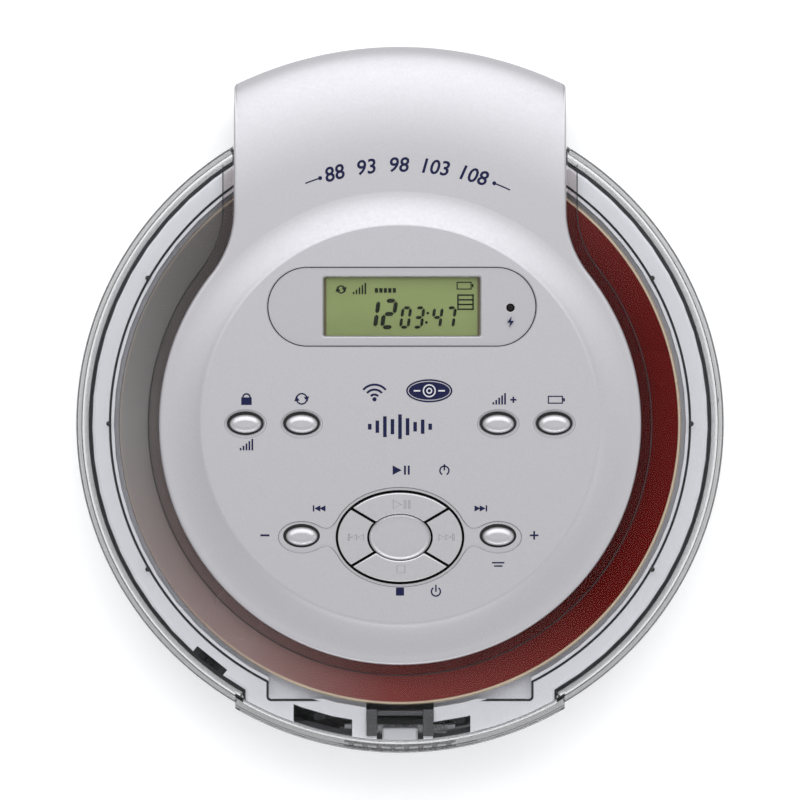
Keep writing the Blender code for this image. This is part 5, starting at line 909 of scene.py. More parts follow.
def ring_section(reach, shoulder):
    """(radius, height) outline of the ring's wall, from its inner edge round the outside."""
    points = [(RING_INNER, RING_UNDER), (RING_INNER, RING_TOP)]
    for k in range(9):
        turn = math.radians(90 * k / 8)
        points.append((
            reach - shoulder + shoulder * math.sin(turn),
            RING_TOP - shoulder + shoulder * math.cos(turn),
        ))
    points += [(reach, RING_FOOT + 0.3), (reach - 0.3, RING_FOOT), (reach - SKIRT, RING_FOOT)]
    for k in range(5):
        turn = math.radians(90 - 90 * k / 4)
        points.append((
            reach - SKIRT - SKIRT_CURVE + SKIRT_CURVE * math.sin(turn),
            RING_UNDER - SKIRT_CURVE + SKIRT_CURVE * math.cos(turn),
        ))
    return points


def add_ring():
    """Clear ring with its front lip, the steps beside it, two hooks and the switch tab."""
    high = RING_TOP + 2
    low = RING_FOOT - 2
    ring = combined("ring", revolved("ring_turned", ring_section(RING_REACH, 2.4), 288), [
        block("lip_gap", (-LIP_ROOM_HALF, -80, low), (LIP_ROOM_HALF, -20, high)),
    ])
    lip = combined("lip", revolved("lip_turned", ring_section(LIP_REACH, 0.8), 288), [
        block("lip_limit", (-LIP_HALF, -80, low), (LIP_HALF, -19, high)),
    ], 'INTERSECT')
    ring = combined("ring", ring, [lip], 'UNION')
    ring = combined("ring", ring, [
        block("tongue_gap", (-RING_GAP, RING_GAP_Y, low), (RING_GAP, 80, high)),
    ])
    into = RING_UNDER + 0.9
    hooks = []
    for x, y in HOOKS:
        foot = RING_FOOT + 0.2
        hooks.append(block("hook", (x, y - 2, foot), (x + HOOK_WIDTH, y, into), 0.3))
        hooks.append(block(
            "nose", (x + 1, y - 1.2, foot + 0.1), (x + HOOK_WIDTH + 1, y - 0.1, 18.3), 0.2))
    across = Vector((math.cos(TAB_TURN), -math.sin(TAB_TURN)))
    out = Vector((-math.sin(TAB_TURN), -math.cos(TAB_TURN)))
    width, near, far = TAB
    corners = [(-width / 2, near), (width / 2, near), (width / 2, far), (-width / 2, far)]
    tab = [tuple(across * a + out * r) + (0.3,) for a, r in corners]
    hooks.append(plate("tab", softened(tab), 19.0, into))
    ring = combined("ring", ring, hooks, 'UNION')
    piece("clear_ring", ring, "lid", RING_CLEAR, "clear_plastic", ("lid_ring",), 30.0)


def grown(name, tree, sizes):
    """Plain mesh from a Geometry Nodes tree, its inputs set by socket identifier."""
    holder = bpy.data.objects.new(name, bpy.data.meshes.new(name))
    modifier = holder.modifiers.new(name, 'NODES')
    modifier.node_group = tree
    for socket in tree.interface.items_tree:
        if socket.in_out == 'INPUT' and socket.name in sizes:
            modifier[socket.identifier] = sizes[socket.name]
    bpy.context.scene.collection.objects.link(holder)
    return evaluated(holder)


def add_ring_pips():
    """Six small moulded pips under the ring, three a side, placed by Geometry Nodes."""
    sizes = {
        "Ring": PIP_REACH * MM, "Pip radius": PIP_RADIUS * MM,
        "Height": (RING_UNDER - 0.12) * MM,
    }
    side_count = 3
    step = math.radians(30)
    tree = bpy.data.node_groups.new("ring_pips", 'GeometryNodeTree')
    tree.interface.new_socket("Geometry", in_out='OUTPUT', socket_type='NodeSocketGeometry')
    for label in sizes:
        tree.interface.new_socket(label, in_out='INPUT', socket_type='NodeSocketFloat')
    given = add(tree, "NodeGroupInput").outputs
    line = add(tree, "GeometryNodeMeshLine", {"Count": 2 * side_count}, mode='OFFSET')
    index = add(tree, "GeometryNodeInputIndex").outputs[0]
    along_side = maths(tree, 'MODULO', index, float(side_count))
    side_turn = maths(tree, 'MULTIPLY_ADD', along_side, step, -step)
    far_side = maths(tree, 'GREATER_THAN', index, side_count - 0.5)
    angle = maths(tree, 'MULTIPLY_ADD', far_side, math.pi, side_turn)
    place = add(tree, "ShaderNodeCombineXYZ", {
        "X": maths(tree, 'MULTIPLY', maths(tree, 'COSINE', angle), given["Ring"]),
        "Y": maths(tree, 'MULTIPLY_ADD', maths(tree, 'SINE', angle), given["Ring"],
                   SPINDLE_Y * MM),
        "Z": given["Height"],
    })
    points = add(tree, "GeometryNodeSetPosition", {
        "Geometry": line.outputs["Mesh"], "Position": place.outputs[0]})
    ball = add(tree, "GeometryNodeMeshUVSphere", {
        "Segments": 20, "Rings": 10, "Radius": given["Pip radius"]})
    pip = add(tree, "GeometryNodeTransform", {
        "Geometry": ball.outputs["Mesh"], "Scale": (1.0, 1.0, 0.3)})
    copies = add(tree, "GeometryNodeInstanceOnPoints", {
        "Points": points.outputs["Geometry"], "Instance": pip.outputs["Geometry"]})
    solid = add(tree, "GeometryNodeRealizeInstances", {
        "Geometry": copies.outputs["Instances"]})
    coat = add(tree, "GeometryNodeSetMaterial", {
        "Geometry": solid.outputs["Geometry"], "Material": BLACK})
    add(tree, "NodeGroupOutput", {"Geometry": coat.outputs["Geometry"]})
    piece("ring_pips", grown("ring_pips", tree, sizes), "lid", BLACK, "black_plastic")


def add_flange():
    """Flange of the cover under the clear ring, tinted smoky as painted shade of the cover on the
    disc, with a black bead along its edge as a painted dark line.
    """
    first = math.atan2(TONGUE_HALF, FLANGE_START_Y)
    turns = [
        first + (TURN - 2 * first) * k / FLANGE_STEPS for k in range(FLANGE_STEPS + 1)
    ]
    high = RING_UNDER - 0.04
    shade_line_reach = FLANGE_REACH + SHADE_LINE_WIDTH
    # The smoky flange paints the cover's shade on the disc, the black bead a dark line along its
    # edge.
    for name, start, end, low, finish, slot in (
        ("cover_flange", -FLANGE_UNDER, FLANGE_REACH, high - 0.2, SMOKY_SHADE, "clear_plastic"),
        ("flange_shade_line", FLANGE_REACH, shade_line_reach, high - 0.3, BLACK, "black_plastic"),
    ):
        rings = []
        for turn in turns:
            signed = turn if turn <= math.pi else turn - TURN
            edge = Vector((math.sin(signed), math.cos(signed))) * cover_reach(signed)
            away = outline_normal(signed)
            near, far = edge + away * start, edge + away * end
            rings.append([(*near, low), (*far, low), (*far, high), (*near, high)])
        piece(name, made(name, *loft(rings)), "lid", finish, slot, (), 40.0)


# Keys and pad

def key_loft(name, place, levels):
    """Solid through ovals, each given as (length, width, height)."""
    return made(name, *loft([lifted(oval(*level[:2], place), level[2]) for level in levels]))


def add_oval_keys():
    """Six bright domed caps, each on a dark flange and plunger."""
    flange = COVER_TOP - 1.6
    shoulder = KEY_TOP - CAP_DOME
    neck = widened(CAP, -0.3)
    dome = [
        (*widened(CAP, -3.0 * (1 - math.cos(turn))), shoulder + CAP_DOME * math.sin(turn))
        for turn in (math.radians(10 * k) for k in range(1, 9))
    ]
    for name, place in OVAL_KEYS.items():
        stem = key_loft(name, place, [
            (STEM, STEM, KEY_FOOT), (STEM, STEM, flange - 0.8), (*STEM_FLANGE, flange - 0.8),
            (*STEM_FLANGE, flange - 0.1), (*widened(STEM_FLANGE, -0.2), flange),
            (*neck, flange), (*neck, flange + 0.2),
        ])
        piece(f"{name}_stem", stem, name, BLACK, "black_plastic", (), 40.0)
        cap = key_loft(name, place, [
            (*widened(CAP, -0.4), flange + 0.22), (*CAP, flange + 0.3), (*CAP, shoulder), *dome,
        ])
        piece(f"{name}_cap", cap, name, KEY_SILVER, "bright_plastic", (name,), 40.0)


def add_key_sheet():
    """Dark rubber sheet on the key board under the keys, and a pad under its middle."""
    foot, top = heights("lid_board")
    sheet = [(0.0, top + 0.02), (43.4, top + 0.02), (43.5, top + 0.1), (43.4, top + 0.22),
             (0.0, top + 0.22)]
    pad = [(0.0, foot - 0.3), (6.8, foot - 0.3), (7.2, foot - 0.15), (9.5, foot - 0.02),
           (0.0, foot - 0.02)]
    sheets = [revolved("sheet", sheet, 96), revolved("pad", pad, 72)]
    piece("key_sheet", merged("sheets", sheets), "lid", RUBBER, "rubber_black", (), 40.0)


def sector_outline(start, end, inner, outer, steps=22):
    """Part of an elliptic band between two angles, its sides held off by half the split."""
    points = []
    for size, order in ((outer, 1), (inner, -1)):
        side = []
        for k in range(steps + 1):
            angle = start + (end - start) * k / steps
            direction = Vector((math.cos(angle), math.sin(angle)))
            point = direction / math.sqrt(
                (direction.x / (size[0] / 2)) ** 2 + (direction.y / (size[1] / 2)) ** 2)
            if k in (0, steps):
                away = PAD_SPLIT_HALF if k == 0 else -PAD_SPLIT_HALF
                point += Vector((-direction.y, direction.x)) * away
            side.append((point.x, point.y + PAD_Y))
        points += side[::order]
    return points


PAD_KEYS = {
    "key_pad_next": (-PAD_SPLIT, PAD_SPLIT),
    "key_pad_play": (PAD_SPLIT, math.pi - PAD_SPLIT),
    "key_pad_previous": (math.pi - PAD_SPLIT, math.pi + PAD_SPLIT),
    "key_pad_stop": (math.pi + PAD_SPLIT, TURN - PAD_SPLIT),
}


def triangle(x, y, size, way=1):
    """Triangle pointing along +X, or -X."""
    return [
        (x - way * size / 2, y - size * 0.52), (x + way * size / 2, y),
        (x - way * size / 2, y + size * 0.52),
    ]


def drawn_in(points, inset):
    """Outline with its points moved towards its middle, by at most an inset each way."""
    middle = [sum(p[i] for p in points) / len(points) for i in (0, 1)]
    return [
        tuple(c - math.copysign(min(inset, abs(c - m)), c - m) for c, m in zip(point, middle))
        for point in points
    ]


def pad_signs(name, z):
    """Cutters for the sunk sign of one pad key."""
    if name == "key_pad_play":
        y = PAD_Y + 6.95
        shapes = [triangle(-0.55, y, 1.9), bar(1.05, y, 0.5, 1.9), bar(1.95, y, 0.5, 1.9)]
    elif name == "key_pad_stop":
        shapes = [bar(0.2, PAD_Y - 6.7, 1.8, 1.8)]
    else:
        way = 1 if name == "key_pad_next" else -1
        x = 9.55 * way + 0.25
        shapes = [
            triangle(x - 0.95 * way, PAD_Y, 1.35, way), triangle(x + 0.5 * way, PAD_Y, 1.35, way),
            bar(x + 1.5 * way, PAD_Y, 0.44, 1.5),
        ]
    return [recess("sign", drawn_in(points, 0.13), points, z, 0.16) for points in shapes]


def add_pad():
    """Four rocking keys with sunk signs, round a fixed dished centre."""
    outer = widened(PAD, -0.2)
    low, high = heights("key_pad_play")
    for name, (start, end) in PAD_KEYS.items():
        gap = 0.2 if name in ("key_pad_play", "key_pad_stop") else 0.8
        base = sector_outline(start, end, widened(PAD_CENTRE, gap), outer)
        body = edged(name, plate(name, base, low, high), 0.3, 4, 50.0)
        body = combined(name, body, pad_signs(name, high))
        piece(f"{name}_cap", body, name, PAD_SILVER, "bright_plastic", (name,), 30.0)
    rim = PAD_TOP - 0.3
    levels = [(1.0, heights("pad_centre")[0]), (1.0, rim - 0.1), (0.99, rim)]
    levels += [
        (0.98 - 0.12 * (1 - math.cos(turn)), rim - PAD_DISH * math.sin(turn))
        for turn in (math.radians(15 * k) for k in range(7))
    ]
    rings = [
        lifted(oval(PAD_CENTRE[0] * share, PAD_CENTRE[1] * share, (0, PAD_Y), 72), z)
        for share, z in levels
    ]
    piece("pad_centre_dish", made("dish", *loft(rings)), "lid", PAD_SILVER, "bright_plastic",
          ("pad_centre",), 40.0)


# Signs and print

def shape(points, z, thick=PRINT_THICK):
    """Thin solid of a printed shape."""
    return plate("shape", points, z - PRINT_SUNK, z + thick)


def turned_points(points, angle, place):
    turn = Matrix.Rotation(angle, 2)
    return [tuple(turn @ Vector(p) + Vector(place)) for p in points]


def band(x, y, radius, width, start, end, steps=28):
    """Part of a ring, from one angle to another, in degrees."""
    turns = [math.radians(start + (end - start) * k / steps) for k in range(steps + 1)]
    out, inside = radius + width / 2, radius - width / 2
    return [
        (x + reach * math.cos(t), y + reach * math.sin(t))
        for reach, order in ((out, turns), (inside, reversed(turns))) for t in order
    ]


def figures(words, size, x, y, z, angle=0.0, slant=0.0):
    """Printed figures at a place."""
    curve = bpy.data.curves.new("figures", 'FONT')
    curve.body = words
    curve.size = size
    curve.align_x = 'CENTER'
    curve.align_y = 'CENTER'
    curve.extrude = 0.03
    curve.offset = 0.07
    curve.resolution_u = 3
    mesh = evaluated(placed("figures", curve))
    bpy.data.curves.remove(curve)
    lean = Matrix(((1, slant, 0, 0), (0, 1, 0, 0), (0, 0, 1, 0), (0, 0, 0, 1)))
    place = Matrix.Translation((x * MM, (y + SPINDLE_Y) * MM, z * MM))
    mesh.transform(place @ Matrix.Rotation(angle, 4, 'Z') @ Matrix.Scale(MM, 4) @ lean)
    return tidy(mesh)


def scale_print():
    """Scale of frequencies along the rear of the band, with dots and end lines."""
    z = BAND_TOP
    shapes = []
    for words, degrees in SCALE_MARKS:
        turn = math.radians(degrees)
        shapes.append(figures(words, SCALE_SIZE, SCALE_REACH * math.sin(turn),
                              SCALE_REACH * math.cos(turn), z, -turn, 0.14))
    for dot, start, end in ((-18.0, -21.5, -18.4), (21.4, 21.8, 25.2)):
        turn = math.radians(dot)
        place = (SCALE_REACH * math.sin(turn), SCALE_REACH * math.cos(turn))
        shapes.append(shape(oval(0.85, 0.85, place, 20), z))
        shapes.append(shape(band(0, 0, SCALE_REACH, 0.28, 90 - start, 90 - end), z))
    return shapes


def padlock(x, y):
    return [bar(x, y - 0.5, 2.2, 1.6), band(x, y + 0.3, 0.75, 0.32, 0, 180)]


def loop_sign(x, y, r=1.1):
    tip = triangle(0, 0, 1.1)
    return [
        band(x, y, r, 0.3, 20, 160), band(x, y, r, 0.3, 200, 340),
        turned_points(tip, math.radians(-80), (x + r, y - 0.1)),
        turned_points(tip, math.radians(100), (x - r, y + 0.1)),
    ]


def plus(x, y, size=1.8, width=0.36):
    arm = (size - width) / 2
    return [bar(x, y, size, width)] + [
        bar(x, y + side * (size + width) / 4, width, arm) for side in (1, -1)
    ]


def bolt(x, y):
    half = [(0.3, 1.2), (-0.75, -0.15), (-0.05, -0.15), (-0.3, -1.2), (0.75, 0.2), (0.05, 0.2)]
    return [[(x + px, y + py) for px, py in half]]


def cell(x, y):
    """Battery sign as an outline with a nub."""
    return [bar(x, y + 0.72, 3.2, 0.24), bar(x, y - 0.72, 3.2, 0.24), bar(x - 1.48, y, 0.24, 1.2),
            bar(x + 1.48, y, 0.24, 1.2), bar(x + 1.82, y, 0.36, 0.7)]


def level_bars(x, y):
    return [bar(x + 0.62 * (i - 2), y - 1.0 + 0.24 * (i + 1), 0.36, 0.48 * (i + 1))
            for i in range(5)]


def skip(x, y, way=1):
    return [triangle(x - 0.6 * way, y, 1.25, way), triangle(x + 0.5 * way, y, 1.25, way),
            bar(x + 1.3 * way, y, 0.3, 1.3)]


def on_sign(x, y, start, end, stroke):
    return [band(x, y, 0.95, 0.3, start, end), bar(x, y + 0.7, 0.3, stroke)]


def emblem_ring(long_side, short_side, width):
    """Long ring round the emblem."""
    low, high = COVER_TOP - PRINT_SUNK, COVER_TOP + PRINT_THICK
    outer = oval(long_side, short_side, EMBLEM, 48)
    inner = oval(long_side - width, short_side - width, EMBLEM, 48)
    return made("emblem", *loft([
        lifted(outer, low), lifted(inner, low), lifted(inner, high), lifted(outer, high),
    ], wrap=True))


def add_print():
    """Navy print of the cover, as thin solids, and the light lines in its emblem."""
    z = COVER_TOP
    outlines = padlock(-32.5, 5.3) + level_bars(-32.5, -4.6)
    outlines += loop_sign(-20.8, 5.3)
    outlines += level_bars(21.0, 5.1) + plus(24.0, 5.1, 1.3)
    outlines += cell(32.9, 5.1)
    outlines += [triangle(-0.6, -9.8, 1.9), bar(1.05, -9.8, 0.4, 1.9), bar(1.85, -9.8, 0.4, 1.9)]
    outlines += skip(-17.0, -17.9, -1) + skip(17.0, -17.9)
    outlines += [bar(-28.6, -23.6, 1.9, 0.4)] + plus(28.4, -23.6)
    outlines += [bar(0.0, -35.5, 1.7, 1.7)]
    outlines += bolt(23.4, 21.6)
    outlines += on_sign(7.6, -35.5, -235, 55, 1.5) + on_sign(9.4, -9.9, -60, 240, 1.3)
    outlines += [bar(20.8, -29.4, 2.6, 0.3), bar(20.8, -30.1, 1.8, 0.3)]
    outlines += [band(-5.4, 5.2, 1.0 + 1.05 * k, 0.45, 40, 140) for k in range(3)]
    outlines.append(oval(0.9, 0.9, (-5.4, 5.2), 20))
    for i, height in enumerate((1.2, 2.6, 4.4, 3.2, 5.2, 3.6, 2.0, 3.0, 1.3)):
        outlines.append(bar(-6.4 + 1.6 * i, -0.6, 0.75, height))
    shapes = scale_print() + [shape(points, z) for points in outlines]
    shapes += [emblem_ring(9.8, 4.9, 0.7), shape(oval(8.7, 3.8, EMBLEM, 48), z)]
    piece("navy_print", merged("navy_print", shapes), "lid", INK, "silver_paint")
    x, y = EMBLEM
    waves = [band(x, y, radius, 0.26, 0, 359) for radius in (0.5, 1.25)]
    waves += [bar(x + 2.6 * way, y, 1.4, 0.3) for way in (-1, 1)]
    light = merged("light", [shape(points, z + PRINT_THICK, 0.03) for points in waves])
    piece("emblem_light", light, "lid", EMBOSS, "silver_paint")


# Display

SEGMENTS = {
    "0": "abcdef", "1": "bc", "2": "abged", "3": "abgcd", "4": "fgbc", "7": "abc",
}


def digit(figure, x, y, width, height):
    """Outlines of one slanted seven-segment digit."""
    lean = 0.14
    half = height / 2
    places = {
        "a": ((0, height), (width, height)), "g": ((0, half), (width, half)),
        "d": ((0, 0), (width, 0)), "f": ((0, half), (0, height)), "e": ((0, 0), (0, half)),
        "b": ((width, half), (width, height)), "c": ((width, 0), (width, half)),
    }
    shapes = []
    for name in SEGMENTS[figure]:
        start, end = (Vector(point) for point in places[name])
        along = (end - start).normalized()
        start, end = start + along * 0.1, end - along * 0.1
        tip = along * height * 0.08
        across = Vector((-tip.y, tip.x))
        points = [start, start + tip - across, end - tip - across, end,
                  end - tip + across, start + tip + across]
        shapes.append([(x + p.x + lean * p.y, y + p.y) for p in points])
    return shapes


def add_display():
    """Panel with its window, clear lens, module, film, segments and lamp."""
    x, y, width, depth = WINDOW
    panel = plate("panel", stadium(*PANEL[2:], PANEL[:2]), PANEL_FOOT, PANEL_TOP)
    panel = combined("panel", panel, [
        flared_hole("window", rounded_bar(*WINDOW, 0.45),
                    rounded_bar(x, y, width + 0.5, depth + 0.5, 0.6),
                    PANEL_FOOT - 1, PANEL_TOP, 0.35),
        plate("lamp_hole", oval(1.75, 1.75, LAMP, 32), PANEL_FOOT - 1, PANEL_TOP + 1),
    ])
    panel = edged("panel", panel, 0.2, 3, 40.0)
    piece("display_panel_plate", panel, "lid", PANEL_SILVER, "panel_plastic",
          ("display_panel",), 35.0)
    lens = plate("window", rounded_bar(x, y, width - 0.1, depth - 0.1, 0.4),
                 PANEL_TOP - 0.75, PANEL_TOP - 0.3)
    piece("display_window", edged("window", lens, 0.1), "lid", WINDOW_CLEAR, "clear_plastic")
    low, high = node_box("lcd_module")
    body = block("module", (low.x, low.y, low.z), (high.x, high.y, high.z - 0.25), 0.4)
    piece("lcd_body", edged("module", body, 0.1), "lid", BLACK, "black_plastic")
    film = block("film", (x - 17.6, y - 6.8, high.z - 0.24), (x + 17.6, y + 6.8, high.z), 0.3)
    piece("lcd_film", edged("film", film, 0.04), "lid", LCD_FILM, "lcd_glass", ("lcd_module",))
    foot = y - 4.4
    outlines = []
    for figure, across in zip("12", (-7.9, -4.2)):
        outlines += digit(figure, x + across, foot, 2.2, 5.6)
    for figure, across in zip("0347", (-0.3, 2.5, 6.4, 9.2)):
        outlines += digit(figure, x + across, foot, 1.6, 4.1)
    outlines += [oval(0.6, 0.6, (x + 5.2 + 0.3 * i, foot + 1.0 + 2 * i), 16) for i in (0, 1)]
    outlines += loop_sign(x - 12.9, y + 3.6, 0.75)
    outlines += cell(x + 13.2, y + 4.4)
    outlines += level_bars(x - 9.0, y + 3.6)
    outlines += [bar(x - 5.4 + 0.95 * i, y + 3.4, 0.7, 1.0) for i in range(5)]
    outlines += [bar(x + 13.5, y + 2.4 - 1.0 * i, 2.9, 0.34) for i in range(4)]
    outlines += [bar(x + 13.5 + side, y + 0.9, 0.34, 3.4) for side in (-1.6, 1.6)]
    marks = merged("marks", [shape(points, high.z, 0.02) for points in outlines])
    piece("lcd_segments", marks, "lid", LCD_INK, "lcd_glass")
    foot, top = heights("charge_lamp")
    dome = [(0.0, foot), (0.78, foot), (0.78, top - 0.35), (0.6, top - 0.1), (0.0, top)]
    piece("lamp_dome", revolved("lamp", dome, 32, LAMP), "lid", LAMP_DARK, "black_plastic",
          ("charge_lamp",), 40.0)


# Disc and turntable

def add_disc():
    """Disc with rounded edges and a raised stacking ring."""
    low, high = heights("disc")
    section = [
        (7.5, low + 0.15), (7.65, low), (DISC_REACH - 0.2, low), (DISC_REACH, low + 0.2),
        (DISC_REACH, high - 0.2), (DISC_REACH - 0.2, high), (17.6, high), (17.2, high + 0.12),
        (16.8, high + 0.12), (16.4, high), (7.65, high), (7.5, high - 0.15),
    ]
    piece("disc_body", revolved("disc", section, 200), "spindle", DISC_FILM, "disc_film",
          ("disc",), 30.0)


def add_hub():
    """Hub: plate with its rubber band, tapered boss, and three spring balls."""
    body = edged("hub", node_mesh("turntable_hub"), 0.15)
    piece("hub_body", body, "spindle", WELL_DARK, "black_plastic", ("turntable_hub",), 40.0)
    top = heights("disc")[0]
    rubber = [(11.0, top - 0.28), (14.8, top - 0.28), (14.8, top - 0.08), (11.0, top - 0.08)]
    piece("hub_rubber", revolved("rubber", rubber, 96), "spindle", RUBBER, "rubber_black")
    ball, reach, height = 0.9, 6.55, 21.3
    turns = [math.radians(15 * i) for i in range(13)]
    arc = [(ball * math.sin(turn), height - ball * math.cos(turn)) for turn in turns]
    balls = []
    for k in range(3):
        turn = TURN * k / 3 + math.radians(90)
        place = (reach * math.cos(turn), reach * math.sin(turn))
        balls.append(revolved("ball", arc, 24, place))
    piece("hub_balls", merged("balls", balls), "spindle", BRIGHT_STEEL, "steel_metal", (), 40.0)


# Base

def add_refined(node, body, finish, slot, width, segments=2):
    """CAD node with its edges rounded."""
    mesh = edged(node, node_mesh(node), width, segments)
    return piece(f"{node}_moulding", mesh, body, finish, slot, (node,), 32.0)


def screw_mesh(place, low, head, reach):
    """Screw in a bore: domed head with a cross recess, facing down."""
    section = [(0.0, low + 0.25), (0.5, low + 0.12), (head * 0.75, low + 0.06), (head, low + 0.35),
               (head, low + 0.8), (0.9, low + 0.8), (0.9, low + reach), (0.0, low + reach)]
    cross = [
        plate("cross", bar(*place, *arm), low - 0.2, low + 0.45)
        for arm in ((1.9, 0.4), (0.4, 1.9))
    ]
    return combined("screw", revolved("screw", section, 48, place), cross)


def add_deck():
    """Deck with the thin grooves round the disc well and the finger notch."""
    inner, outer = GROOVE_RADII
    top = GROOVE_FOOT + 1.7
    groove = revolved("groove", [
        (inner, GROOVE_FOOT), (outer, GROOVE_FOOT), (outer, top), (inner, top)], 240)
    groove = combined("groove", groove, [block("front", (-28.2, -80, 20), (28.2, -30, 24))])
    x, y, width, depth = NOTCH
    notch = combined("notch", plate("notch", rounded_bar(*NOTCH, 1.0), GROOVE_FOOT, top), [
        plate("inside", rounded_bar(x, y, width - 1.0, depth - 1.0, 0.7), 20, 24),
        revolved("well", [(0.0, 20.0), (61.6, 20.0), (61.6, 24.0), (0.0, 24.0)], 120),
    ])
    deck = combined("deck", edged("deck", node_mesh("top_deck"), 0.12), [groove, notch])
    piece("deck_moulding", deck, "base", DECK_PAINT, "deck_plastic", ("top_deck",), 32.0)


def add_latch_posts():
    """Two posts and a bridge round the latch recess."""
    posts = [
        edged("post", block("post", (x - 1.15, -66.6, 21.0), (x + 1.15, -60.9, 22.9), 0.3), 0.25, 3)
        for x in (-6.0, 6.0)
    ]
    posts.append(edged("bridge", block("bridge", (-4.9, -62.2, 20.0), (4.9, -61.2, 22.4)), 0.2, 3))
    piece("latch_posts", merged("posts", posts), "base", POST_GREY, "deck_plastic", (), 40.0)


def add_knob():
    """Bright knob that opens the lid, its edges rounded."""
    body = edged("knob", node_mesh("open_knob"), 0.12, 2, 40.0)
    piece("knob_body", body, "latch", KNOB_SILVER, "bright_plastic", ("open_knob",), 32.0)


def add_latch_spring():
    """Coil between the latch's arm and its stop, on a mesh of its own; the real one shortens as the
    latch slides.
    """
    low, high = node_box("latch_spring")
    wire = 0.3
    coil = (high.y - low.y) / 2 - wire
    turns, steps, sides = 4, 20, 10
    pitch = (high.x - low.x - 2 * wire) / turns
    middle = (low + high) / 2
    rings = []
    for k in range(turns * steps + 1):
        turn = TURN * k / steps
        out = Vector((0, math.cos(turn), math.sin(turn)))
        along = Vector((pitch / TURN, -coil * out.z, coil * out.y)).normalized()
        side = along.cross(out)
        centre = Vector((low.x + wire + pitch * k / steps, middle.y, middle.z)) + out * coil
        rings.append([
            tuple(centre + out * (wire * math.cos(a)) + side * (wire * math.sin(a)))
            for a in (TURN * i / sides for i in range(sides))
        ])
    spring = piece("latch_spring_coil", made("coil", *loft(rings)), "base", BRIGHT_STEEL,
                   "spring_metal", ("latch_spring",), 60.0)
    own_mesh(spring)


def add_base():
    """Case, deck, door, feet, screws, latch, jacks and knob, and the lid's liner."""
    add_refined("bottom_case", "base", CASE_GREY, "case_plastic", 0.12)
    add_deck()
    add_latch_posts()
    add_refined("battery_door", "door", CASE_GREY, "case_plastic", 0.15)
    for name in ("foot_front_left", "foot_front_right", "foot_rear_left", "foot_rear_right"):
        add_refined(name, "base", RUBBER, "rubber_black", 0.12)
    foot = heights("bottom_case")[0] + 0.25
    screws = [screw_mesh(place, foot, 2.3, 6.0) for place in SCREW_PLACES]
    piece("case_screws", merged("screws", screws), "base", STEEL, "steel_metal")
    add_refined("latch_guide", "base", DECK_SILVER, "deck_plastic", 0.25, 3)
    for node, body, width in (
        ("latch_slider", "latch", 0.12), ("lid_switch", "base", 0.08),
        ("volume_wheel", "volume", 0.08), ("headphone_jack", "base", 0.1),
        ("power_jack", "base", 0.1),
    ):
        add_refined(node, body, BLACK, "black_plastic", width)
    add_refined("lid_liner", "lid", LINER_GREY, "deck_plastic", 0.1)
    add_knob()
    add_latch_spring()


# Inner nodes keep their CAD shape and get a finish

INNER_FINISHES = (
    (BRIGHT_STEEL, ("contact_bridge", "contact_positive", "contact_negative")),
    (LAMINATE, ("main_board", "lid_board")),
    (BLACK, ("mech_chassis", "pickup_sled")),
    (RUBBER, ("damper_front_right", "damper_rear_right", "damper_rear_left")),
    (STEEL, ("spindle_motor", "guide_rod_front", "guide_rod_rear", "sled_motor",
             "hinge_pin_left", "hinge_pin_right")),
    (LENS_BLUE, ("pickup_lens",)),
    (IVORY, ("drive_gear", "motor_pinion", "lid_ribbon")),
)


def finish_inner():
    for finish, nodes in INNER_FINISHES:
        for node in nodes:
            mesh = NODES[node].data
            mesh.materials.clear()
            mesh.materials.append(finish)


# Room

def seen_rays(tree):
    """One for camera, glossy and transmission rays, and nothing for the rest."""
    path = add(tree, "ShaderNodeLightPath").outputs
    shown = maths(tree, 'MAXIMUM', path["Is Camera Ray"], path["Is Glossy Ray"])
    return maths(tree, 'MAXIMUM', shown, path["Is Transmission Ray"])


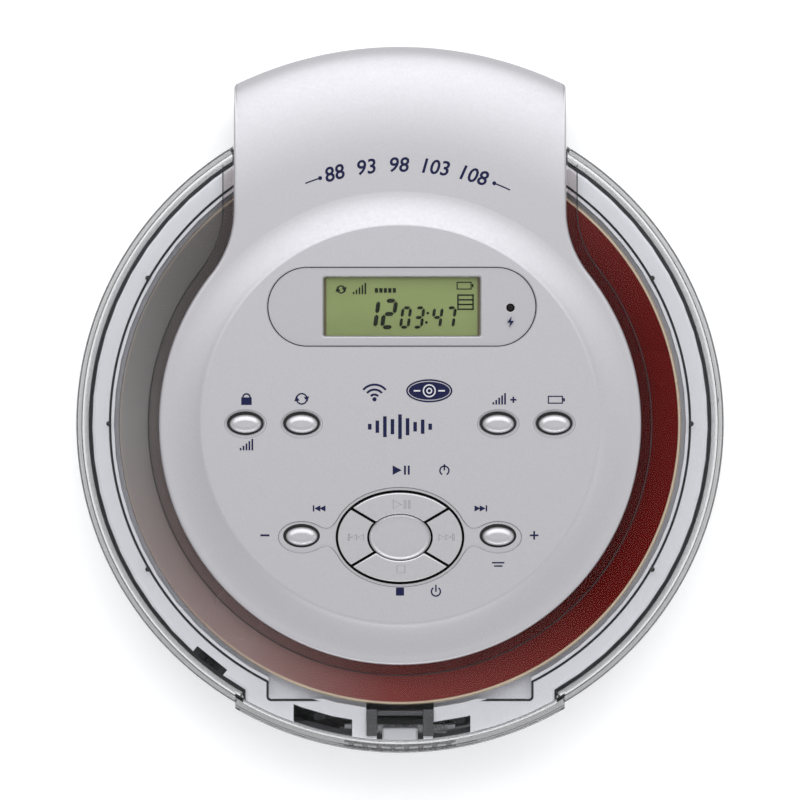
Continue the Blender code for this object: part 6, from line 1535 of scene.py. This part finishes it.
def plain_world():
    """Soft even light, seen as white."""
    world = bpy.data.worlds.new("room")
    bpy.context.scene.world = world
    world.use_nodes = True
    tree = world.node_tree
    soft = set_inputs(tree.nodes["Background"], {"Color": (0.98, 0.99, 1.0, 1), "Strength": 0.62})
    white = add(tree, "ShaderNodeBackground", {"Color": (1, 1, 1, 1), "Strength": 1.0})
    mix = add(tree, "ShaderNodeMixShader", {
        "Fac": seen_rays(tree), 1: soft.outputs["Background"], 2: white.outputs["Background"]})
    set_inputs(tree.nodes["World Output"], {"Surface": mix.outputs["Shader"]})


def add_floor():
    """Pale floor, lifted to white where it is lit, so that its shadow stays."""
    lift = 0.17
    material, tree, shader = new_finish("pale_floor")
    vector = add(tree, "ShaderNodeTexCoord").outputs["Object"]
    set_inputs(shader, {
        "Base Color": (0.94, 0.94, 0.94, 1), "Specular IOR Level": 0.1,
        "Roughness": spread(tree, noise(tree, vector, 300.0), 0.85, 0.95),
        "Emission Color": (1, 1, 1, 1),
        "Emission Strength": maths(tree, 'MULTIPLY', seen_rays(tree), lift),
    })
    bpy.ops.mesh.primitive_plane_add(size=4.0)
    floor = bpy.context.object
    floor.name = "floor"
    floor.data.materials.append(material)


def add_lamp(name, place, size, power, aim=(0, 0, 0)):
    lamp = bpy.data.lights.new(name, 'AREA')
    lamp.shape = 'RECTANGLE'
    lamp.size, lamp.size_y = size
    lamp.energy = power
    holder = placed(name, lamp)
    holder.location = place
    holder.rotation_euler = (Vector(aim) - Vector(place)).to_track_quat('-Z', 'Y').to_euler()


def add_camera():
    """Camera straight above the object."""
    lens = bpy.data.cameras.new("camera")
    lens.lens = 191.0
    lens.sensor_width = 36.0
    lens.clip_start = 0.01
    camera = placed("camera", lens)
    camera.location = (0.0, 0.0, 0.927)
    bpy.context.scene.camera = camera


add_cover()
add_ring()
add_ring_pips()
add_flange()
add_oval_keys()
add_key_sheet()
add_pad()
add_print()
add_display()
add_disc()
add_hub()
add_base()
finish_inner()
plain_world()
add_floor()
add_lamp("rear_softbox", (0.0, 0.76, 0.82), (1.4, 1.0), 10.6)
add_lamp("side_softbox", (0.9, -0.25, 0.6), (0.5, 0.5), 0.9)
add_lamp("front_strip", (0.0, -1.0, 0.42), (1.2, 0.25), 3.6)
add_camera()
bpy.context.scene.view_settings.view_transform = 'Standard'
